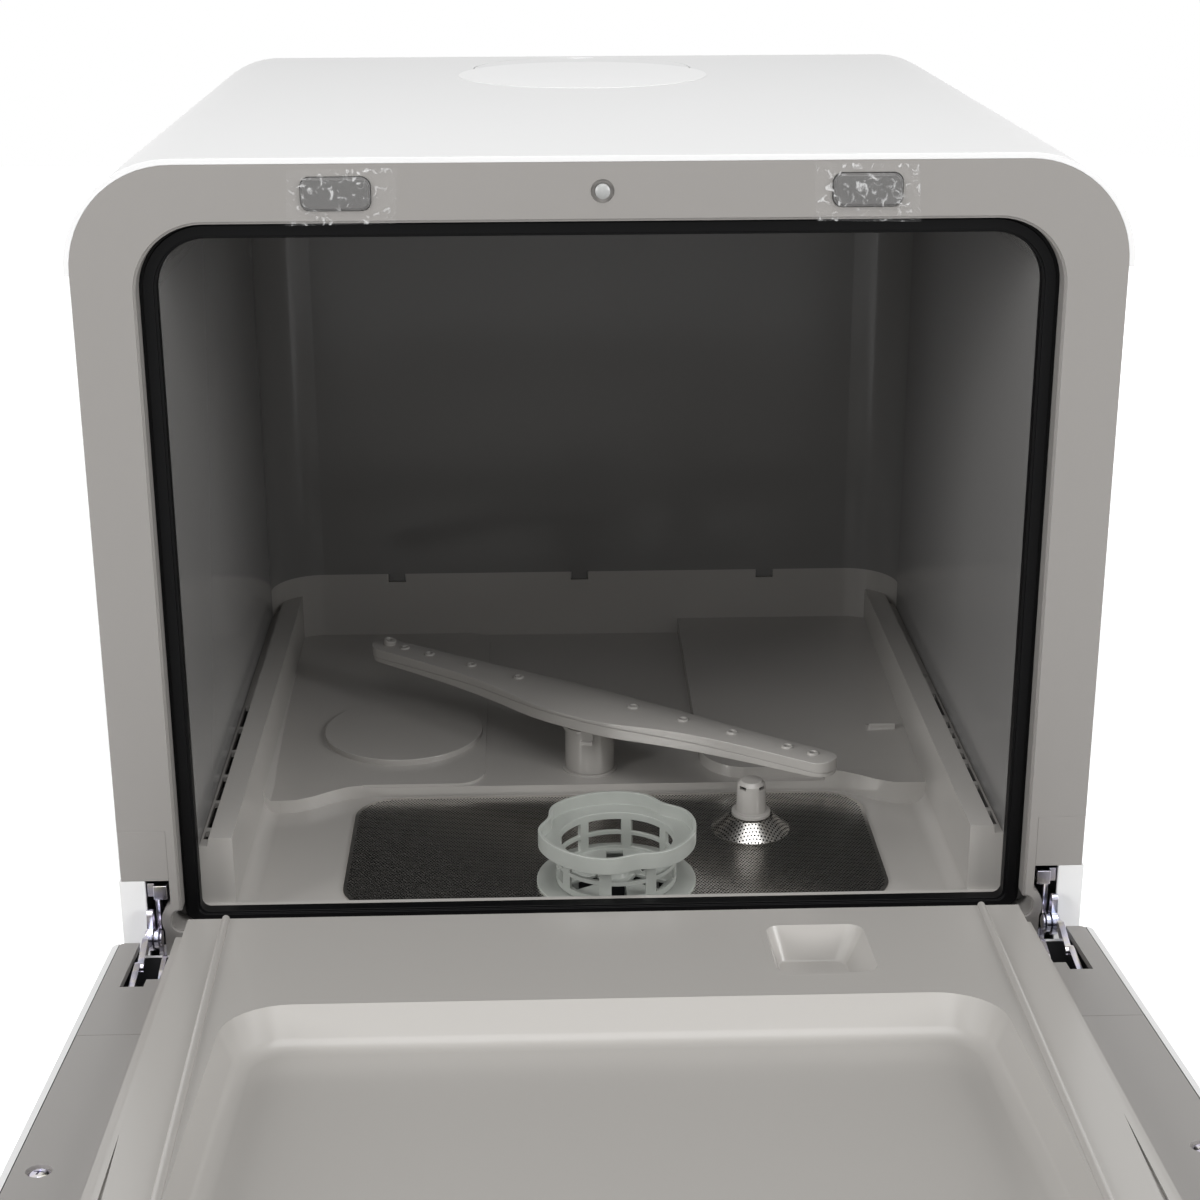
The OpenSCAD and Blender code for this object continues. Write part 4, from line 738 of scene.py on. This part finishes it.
def screw_pattern(radius, shank, shank_length):
    """Pan head with a cross recess and a plain shank, on the Z axis with the head's top at z = 0."""
    work = bmesh.new()
    height = radius * 0.5
    rings = [(0.0, 0.0), (radius * 0.55, -0.03 * radius), (radius * 0.85, -0.16 * radius),
             (radius, -0.34 * radius), (radius, -height), (shank, -height), (shank, -shank_length),
             (0.0, -shank_length)]
    steps = 32
    loops = []
    for r, z in rings:
        if r == 0:
            loops.append([work.verts.new((0, 0, z))])
        else:
            turns = [i * math.tau / steps for i in range(steps)]
            loops.append([work.verts.new((r * math.cos(a), r * math.sin(a), z)) for a in turns])
    for a, b in zip(loops, loops[1:]):
        for i in range(steps):
            j = (i + 1) % steps
            if len(a) == 1:
                work.faces.new((a[0], b[i], b[j]))
            elif len(b) == 1:
                work.faces.new((a[i], b[0], a[j]))
            else:
                work.faces.new((a[i], b[i], b[j], a[j]))
    bmesh.ops.recalc_face_normals(work, faces=work.faces)
    head = bpy.data.meshes.new("screw_head")
    work.to_mesh(head)
    work.free()
    cutter = bmesh.new()
    for turn in (0, math.pi / 2):
        arm = bmesh.ops.create_cube(cutter, size=1.0)["verts"]
        for v in arm:
            deep = v.co.z < 0
            long_side, short_side, level = (0.7, 0.12, -0.42) if deep else (1.15, 0.2, 0.1)
            v.co = Vector((v.co.x * radius * long_side, v.co.y * radius * short_side, radius * level))
            v.co = Matrix.Rotation(turn, 3, "Z") @ v.co
    cut_mesh = bpy.data.meshes.new("cross_recess")
    cutter.to_mesh(cut_mesh)
    cutter.free()
    pattern = bpy.data.objects.new("screw_pattern", head)
    tool = bpy.data.objects.new("cross_recess", cut_mesh)
    for obj in (pattern, tool):
        bpy.context.scene.collection.objects.link(obj)
    cut = pattern.modifiers.new("cross", "BOOLEAN")
    cut.operation = "DIFFERENCE"
    cut.solver = "EXACT"
    cut.use_self = True
    cut.object = tool
    bpy.context.view_layer.update()
    mesh = bpy.data.meshes.new_from_object(pattern.evaluated_get(bpy.context.evaluated_depsgraph_get()))
    bpy.data.objects.remove(tool)
    pattern.modifiers.clear()
    pattern.data = mesh
    shade_by_angle(mesh, degrees=35)
    return pattern


def shade_by_angle(mesh, degrees):
    work = bmesh.new()
    work.from_mesh(mesh)
    mark_smooth(work, degrees)
    work.to_mesh(mesh)
    work.free()


def screws(name, node, spots, facing, radius, length, seed):
    """Cross-head screws on the given spots, standing in for a CAD node."""
    shank = 1.6 * MM
    pattern = screw_pattern(radius, shank, length)
    points = bpy.data.meshes.new(name + "_spots")
    points.from_pydata([tuple(p) for p in spots], [], [])
    mesh = grown(name, points, screw_tree(), {
        "Screw": pattern, "Facing": tuple(facing), "Seed": seed, "Material": zinc_plate()})
    bpy.data.objects.remove(pattern)
    piece = new_piece(name, mesh, NODES[node]["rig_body"], None)
    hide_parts(node)


def film_mesh(name, low, high, pad, rise, slant, seed):
    """Film laid from low to high (x, z) on the frame's face and stretched over a pad standing proud of it."""
    columns, rows = 44, 26
    slope, steepness = 4.5, 1.6
    air, wrinkle, wrinkle_cap, smooth_rim = 0.12, 0.35, 0.6, 3.0
    rough = Random(seed)
    ripples = [(rough.uniform(0.10, 0.32), rough.uniform(-0.35, 0.35), rough.uniform(0, 6.28),
                rough.uniform(0.3, 1.0)) for _ in range(5)]
    vertices = []
    for j in range(rows + 1):
        for i in range(columns + 1):
            u, v = i / columns, j / rows
            x = low[0] + (high[0] - low[0]) * u + slant * (v - 0.5)
            z = low[1] + (high[1] - low[1]) * v + slant * 0.5 * (u - 0.5)
            gap = max(abs(x - pad[0]) - pad[2], abs(z - pad[1]) - pad[3], 0.0)
            lift = rise * max(0.0, 1 - gap / slope) ** steepness
            ripple = sum(h * max(0.0, math.cos(x * a + z * (0.5 - a) + c)) ** 6 for a, _, c, h in ripples)
            ripple = min(ripple, wrinkle_cap)
            free = min(1.0, gap / smooth_rim) * min(1.0, min(u, 1 - u, v, 1 - v) * 12 + 0.25)
            vertices.append((x * MM, FRONT_Y - (air + lift + wrinkle * ripple * free) * MM, z * MM))
    faces = []
    for j in range(rows):
        for i in range(columns):
            a = j * (columns + 1) + i
            faces.append((a, a + 1, a + columns + 2, a + columns + 1))
    mesh = bpy.data.meshes.new(name)
    mesh.from_pydata(vertices, [], faces)
    mesh.polygons.foreach_set("use_smooth", [True] * len(faces))
    return mesh


def arc(centre, radius, start, end, steps):
    """Points of an arc from one angle to another, both ends included."""
    return [(centre[0] + radius * math.cos(start + (end - start) * i / steps),
             centre[1] + radius * math.sin(start + (end - start) * i / steps)) for i in range(steps + 1)]


def cut_disc(centre, radius, cut_centre, cut_radius, slit, steps=64):
    """Outlines of the two parts of a disc cut along a circle: the part inside it and the part outside."""
    away = math.dist(centre, cut_centre)
    towards = math.atan2(cut_centre[1] - centre[1], cut_centre[0] - centre[0])
    outlines = []
    for inside, r in ((True, cut_radius - slit / 2), (False, cut_radius + slit / 2)):
        reach = (radius ** 2 - r ** 2 + away ** 2) / (2 * away)
        rim = math.acos(reach / radius)
        cut = math.acos((away - reach) / r)
        back = towards + math.pi
        if inside:
            outline = arc(centre, radius, towards - rim, towards + rim, steps)
            outline += arc(cut_centre, r, back - cut, back + cut, steps)[1:-1]
        else:
            outline = arc(centre, radius, towards + rim, towards + math.tau - rim, steps)
            outline += arc(cut_centre, r, back + cut, back - cut, steps)[1:-1]
        outlines.append(outline)
    return outlines


def sheet_mesh(name, outline, z, thickness):
    """Flat sheet of the given outline, lying on z."""
    work = bmesh.new()
    under = [work.verts.new((x, y, z)) for x, y in outline]
    over = [work.verts.new((x, y, z + thickness)) for x, y in outline]
    work.faces.new(over)
    work.faces.new(list(reversed(under)))
    for i in range(len(outline)):
        j = (i + 1) % len(outline)
        work.faces.new((under[i], under[j], over[j], over[i]))
    bmesh.ops.recalc_face_normals(work, faces=work.faces)
    mesh = bpy.data.meshes.new(name)
    work.to_mesh(mesh)
    work.free()
    return mesh


# Operators

class DISHWASHER_OT_casing(bpy.types.Operator):
    """White casing, back panel, base pan and feet."""
    bl_idname = "dishwasher.casing"
    bl_label = "Casing"

    def execute(self, context):
        sizes = context.scene.dishwasher_sizes
        for name in ("top_cover", "side_panel_left", "side_panel_right", "fill_lid"):
            soften(name, sizes.fine_edge)
        for name in ("back_panel", "base_pan", "feet", "fill_funnel"):
            dress_node(name)
        return {"FINISHED"}


class DISHWASHER_OT_front_frame(bpy.types.Operator):
    """Grey front frame, corner blocks, latch pads, plunger and gasket."""
    bl_idname = "dishwasher.front_frame"
    bl_label = "Front frame"

    def execute(self, context):
        sizes = context.scene.dishwasher_sizes
        soften("front_frame", sizes.fine_edge)
        for side in ("left", "right"):
            soften("frame_corner_" + side, sizes.fine_edge)
            soften("latch_magnet_" + side, sizes.fine_edge, finish=pad_plastic)
        soften("door_gasket", sizes.fine_edge, 3)
        dress_node("door_plunger", plunger_plastic())
        dress_node("door_switch")
        return {"FINISHED"}


class DISHWASHER_OT_tub(bpy.types.Operator):
    """Tub sleeve, moulded base, hub and filter parts."""
    bl_idname = "dishwasher.tub"
    bl_label = "Tub"

    def execute(self, context):
        sizes = context.scene.dishwasher_sizes
        soften("tub_base", sizes.edge, 3, wide=(on_raised_floor, sizes.floor_edge, 4), keep=on_side_ledge)
        soften("spray_arm_upper", sizes.edge, 3)
        for name in ("spray_arm_lower", "spray_hub", "micro_filter", "filter_cup", "float_cap"):
            soften(name, sizes.fine_edge)
        soften("filter_plate", sizes.fine_edge)
        dress_node("tub")
        return {"FINISHED"}


class DISHWASHER_OT_door(bpy.types.Operator):
    """Door shell, trim, liner and hinge covers."""
    bl_idname = "dishwasher.door"
    bl_label = "Door"

    def execute(self, context):
        sizes = context.scene.dishwasher_sizes
        soften("door_liner", sizes.edge, 3, wide=(in_pan, sizes.pan_edge, 5))
        soften("door_shell", sizes.edge, 3, paint=paint_door_cavity_shade)
        for name in ("door_trim", "door_hinge_cover_left", "door_hinge_cover_right"):
            soften(name, sizes.fine_edge / 2)
        dress_node("door_strikes")
        return {"FINISHED"}


class DISHWASHER_OT_hinges(bpy.types.Operator):
    """Zinc-plated hinge brackets, pins and arms."""
    bl_idname = "dishwasher.hinges"
    bl_label = "Hinges"

    def execute(self, context):
        for side in ("left", "right"):
            for name in ("hinge_bracket_", "hinge_pin_", "hinge_arm_"):
                soften(name + side, context.scene.dishwasher_sizes.edge, 3)
        return {"FINISHED"}


class DISHWASHER_OT_controls(bpy.types.Operator):
    """Fascia, window, buttons and board."""
    bl_idname = "dishwasher.controls"
    bl_label = "Controls"

    def execute(self, context):
        sizes = context.scene.dishwasher_sizes
        soften("control_panel", sizes.edge)
        for name in ("power_button", "program_button", "dry_button", "start_button"):
            soften(name, sizes.fine_edge)
        for name in ("display_window", "control_board"):
            dress_node(name)
        return {"FINISHED"}


class DISHWASHER_OT_machinery(bpy.types.Operator):
    """Pumps, heater, hoses, tank, ports and fan."""
    bl_idname = "dishwasher.machinery"
    bl_label = "Machinery"

    def execute(self, context):
        for name in ("sump", "wash_pump", "wash_motor", "drain_pump", "heater", "wash_hose",
                     "drain_hose", "water_tank", "inlet_valve", "drain_port", "cord_gland",
                     "drying_fan"):
            dress_node(name)
        return {"FINISHED"}


class DISHWASHER_OT_perforations(bpy.types.Operator):
    """Holes of the steel filter plate as dark discs of painted shade, on its flat and on the cone round the
    float.
    """
    bl_idname = "dishwasher.perforations"
    bl_label = "Perforations"

    def execute(self, context):
        sizes = context.scene.dishwasher_sizes
        # Painted shade: dark discs laid on the plate stand for its holes
        mesh = grown("filter_plate_holes", NODES["filter_plate"].data.copy(), perforation_tree(), {
            "Pitch": sizes.hole_pitch, "Hole Radius": sizes.hole_radius, "Margin": sizes.hole_margin,
            "Material": hole_shadow()})
        new_piece("filter_plate_holes", mesh, "cabinet", None)
        return {"FINISHED"}


class DISHWASHER_OT_screws(bpy.types.Operator):
    """Cross-head screws of the door and of the back panel."""
    bl_idname = "dishwasher.screws"
    bl_label = "Screws"

    def execute(self, context):
        sizes = context.scene.dishwasher_sizes
        inward = Matrix.Rotation(OPEN_ANGLE, 3, "X") @ Vector((0, 1, 0))
        door_x, door_s, sunk, door_length = 202.5, (205.7, 285), 0.2, 13.8 * MM
        door = [door_place(s, -sunk) + Vector((x * MM, 0, 0)) for x in (-door_x, door_x) for s in door_s]
        screws("door_cross_screws", "door_screws", door, inward, sizes.screw_radius, door_length, seed=4)
        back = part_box("back_screws")[1].y
        rear_x, rear_z, rear_head, rear_length = 200, (25, 142, 259, 376), 0.88, 12.4 * MM
        rear = [Vector((x * MM, back, z * MM)) for x in (-rear_x, rear_x) for z in rear_z]
        screws("back_cross_screws", "back_screws", rear, (0, 1, 0), sizes.screw_radius * rear_head,
               rear_length, seed=9)
        return {"FINISHED"}


class DISHWASHER_OT_film(bpy.types.Operator):
    """Clear protective film over both latch pads."""
    bl_idname = "dishwasher.film"
    bl_label = "Protective film"

    def execute(self, context):
        half_width, half_height = 13.75, 6.5
        sheets = {
            "left": ((-125, 408.6), (-81.5, 430.6), 1.2, 3),
            "right": ((84.5, 408.2), (126.5, 431.2), -1.6, 8),
        }
        for side, (low, high, slant, seed) in sheets.items():
            a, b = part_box("latch_magnet_" + side)
            pad = ((a.x + b.x) / 2 / MM, (a.z + b.z) / 2 / MM, half_width, half_height)
            proud = (FRONT_Y - a.y) / MM
            mesh = film_mesh("latch_film_" + side, low, high, pad, proud, slant, seed)
            new_piece("latch_film_" + side, mesh, "cabinet", film())
        return {"FINISHED"}


class DISHWASHER_OT_sticker(bpy.types.Operator):
    """Bare round sticker on the top, cut along the fill lid's rim so that the lid still lifts."""
    bl_idname = "dishwasher.sticker"
    bl_label = "Round sticker"

    def execute(self, context):
        sizes = context.scene.dishwasher_sizes
        low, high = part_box("fill_lid")
        lid = ((low.x + high.x) / 2, (low.y + high.y) / 2)
        half_gap = 0.3 * MM
        lid_rim = (high.x - low.x) / 2 + half_gap
        centre = (-0.5 * MM, FRONT_Y + 303 * MM)
        slit, lift, thickness = 0.04 * MM, 0.02 * MM, 0.15 * MM
        outlines = cut_disc(centre, sizes.sticker_radius, lid, lid_rim, slit)
        bodies = (NODES["fill_lid"]["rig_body"], NODES["top_cover"]["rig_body"])
        for name, outline, body in zip(("sticker_on_lid", "sticker_on_top"), outlines, bodies):
            mesh = sheet_mesh(name, outline, TOP_Z + lift, thickness)
            new_piece(name, mesh, body, label_paper())
        return {"FINISHED"}


class DISHWASHER_OT_stage(bpy.types.Operator):
    """Pale floor, white background, soft studio light and the camera."""
    bl_idname = "dishwasher.stage"
    bl_label = "Stage"

    def execute(self, context):
        scene = context.scene
        settings = scene.dishwasher_stage
        scene.view_settings.view_transform = "Standard"
        make_floor()
        make_world(settings.world)
        softbox("softbox_above", (0.0, -0.62, 1.75), (0, -0.1, 0.2), 1.3, settings.key)
        softbox("softbox_front", (-0.3, -1.9, 1.3), (0, 0.1, 0.2), 1.0, settings.front)
        for side in (-1, 1):
            softbox("softbox_side", (side * 1.75, -1.05, 0.95), (0, 0, 0.25), 0.9, settings.side)
        make_camera(scene)
        return {"FINISHED"}


def make_floor():
    """Pale worktop that brightens to the white background away from the machine."""
    mesh = bpy.data.meshes.new("worktop")
    half = 3.0
    corners = [(-half, -half, 0), (half, -half, 0), (half, half, 0), (-half, half, 0)]
    mesh.from_pydata(corners, [], [(0, 1, 2, 3)])
    floor = bpy.data.objects.new("worktop", mesh)
    bpy.context.scene.collection.objects.link(floor)
    material = bpy.data.materials.new("pale_laminate_worktop")
    material.use_nodes = True
    tree = material.node_tree
    bsdf = tree.nodes["Principled BSDF"]
    bsdf.inputs["Base Color"].default_value = linear("#F4F4F4")
    bsdf.inputs["Roughness"].default_value = 0.6
    bsdf.inputs["Emission Color"].default_value = (1, 1, 1, 1)
    path = add_node(tree, "ShaderNodeLightPath")
    place = add_node(tree, "ShaderNodeTexCoord")
    away = add_node(tree, "ShaderNodeVectorMath", {"operation": "LENGTH"}, None, {0: place.outputs["Object"]})
    fade = add_node(tree, "ShaderNodeMapRange", None, {
        "From Min": 0.6, "From Max": 1.6, "To Min": 0.5, "To Max": 1.0}, {"Value": away.outputs["Value"]})
    seen = math_node(tree, "MULTIPLY", path.outputs["Is Camera Ray"], fade.outputs["Result"])
    tree.links.new(seen, bsdf.inputs["Emission Strength"])
    set_material(floor, material)


def make_world(strength):
    """Even white room light. The camera, gloss and glass see plain white."""
    world = bpy.data.worlds.new("white_room")
    bpy.context.scene.world = world
    world.use_nodes = True
    tree = world.node_tree
    tree.nodes.clear()
    path = add_node(tree, "ShaderNodeLightPath")
    room = add_node(tree, "ShaderNodeBackground", None, {"Color": (1, 1, 1, 1), "Strength": strength})
    seen = add_node(tree, "ShaderNodeBackground", None, {"Color": (1, 1, 1, 1), "Strength": 1.0})
    direct = math_node(tree, "ADD", path.outputs["Is Camera Ray"], path.outputs["Is Glossy Ray"])
    with_glass = math_node(tree, "ADD", direct, path.outputs["Is Transmission Ray"])
    plain = math_node(tree, "MINIMUM", with_glass, 1.0)
    mix = add_node(tree, "ShaderNodeMixShader", None, None, {
        "Fac": plain, 1: room.outputs["Background"], 2: seen.outputs["Background"]})
    add_node(tree, "ShaderNodeOutputWorld", None, None, {"Surface": mix.outputs["Shader"]})


def softbox(name, place, aim, size, power):
    light = bpy.data.lights.new(name, "AREA")
    light.shape = "SQUARE"
    light.size = size
    light.energy = power
    obj = bpy.data.objects.new(name, light)
    obj.location = place
    obj.rotation_euler = (Vector(aim) - Vector(place)).to_track_quat("-Z", "Y").to_euler()
    bpy.context.scene.collection.objects.link(obj)


def make_camera(scene):
    """Camera fitted to the straight edges of the photographed front."""
    yaw, pitch, roll = 0.0309, 0.3405, 0.0034
    ahead = Vector((math.sin(yaw) * math.cos(pitch), math.cos(yaw) * math.cos(pitch), -math.sin(pitch)))
    right = Vector((math.cos(yaw), -math.sin(yaw), 0))
    down = ahead.cross(right)
    right, down = (math.cos(roll) * right + math.sin(roll) * down,
                   -math.sin(roll) * right + math.cos(roll) * down)
    data = bpy.data.cameras.new("photo_camera")
    data.sensor_width = 36
    focal_px, photo_px = 2167.26, 1200
    data.lens = focal_px / photo_px * data.sensor_width
    data.clip_start = 0.01
    camera = bpy.data.objects.new("photo_camera", data)
    scene.collection.objects.link(camera)
    turn = Matrix((right, -down, -ahead)).transposed()
    place = Vector((-28.25 * MM, FRONT_Y - 862.3 * MM, TOP_Z + 119.98 * MM))
    camera.matrix_world = Matrix.Translation(place) @ turn.to_4x4()
    scene.camera = camera


class DISHWASHER_PT_panel(bpy.types.Panel):
    """Lists the settings and the pieces."""
    bl_idname = "DISHWASHER_PT_panel"
    bl_label = "Dishwasher"
    bl_space_type = "VIEW_3D"
    bl_region_type = "UI"
    bl_category = "Dishwasher"

    def draw(self, context):
        layout = self.layout
        for group in (getattr(context.scene, key) for key in GROUPS):
            box = layout.box()
            for key in group.__annotations__:
                box.prop(group, key)
        for operator in OPERATORS:
            layout.operator(operator.bl_idname)


OPERATORS = (
    DISHWASHER_OT_casing, DISHWASHER_OT_front_frame, DISHWASHER_OT_tub, DISHWASHER_OT_door,
    DISHWASHER_OT_hinges, DISHWASHER_OT_controls, DISHWASHER_OT_machinery, DISHWASHER_OT_perforations,
    DISHWASHER_OT_screws, DISHWASHER_OT_film, DISHWASHER_OT_sticker, DISHWASHER_OT_stage,
)
GROUPS = {
    "dishwasher_colours": DishwasherColours, "dishwasher_sizes": DishwasherSizes,
    "dishwasher_stage": DishwasherStage,
}


def register():
    for group in GROUPS.values():
        bpy.utils.register_class(group)
    for key, group in GROUPS.items():
        setattr(bpy.types.Scene, key, PointerProperty(type=group))
    for operator in OPERATORS:
        bpy.utils.register_class(operator)
    bpy.utils.register_class(DISHWASHER_PT_panel)


def unregister():
    bpy.utils.unregister_class(DISHWASHER_PT_panel)
    for operator in reversed(OPERATORS):
        bpy.utils.unregister_class(operator)
    for key, group in reversed(GROUPS.items()):
        delattr(bpy.types.Scene, key)
        bpy.utils.unregister_class(group)


def main():
    register()
    for operator in OPERATORS:
        area, name = operator.bl_idname.split(".")
        getattr(getattr(bpy.ops, area), name)()


if __name__ == "__main__":
    main()
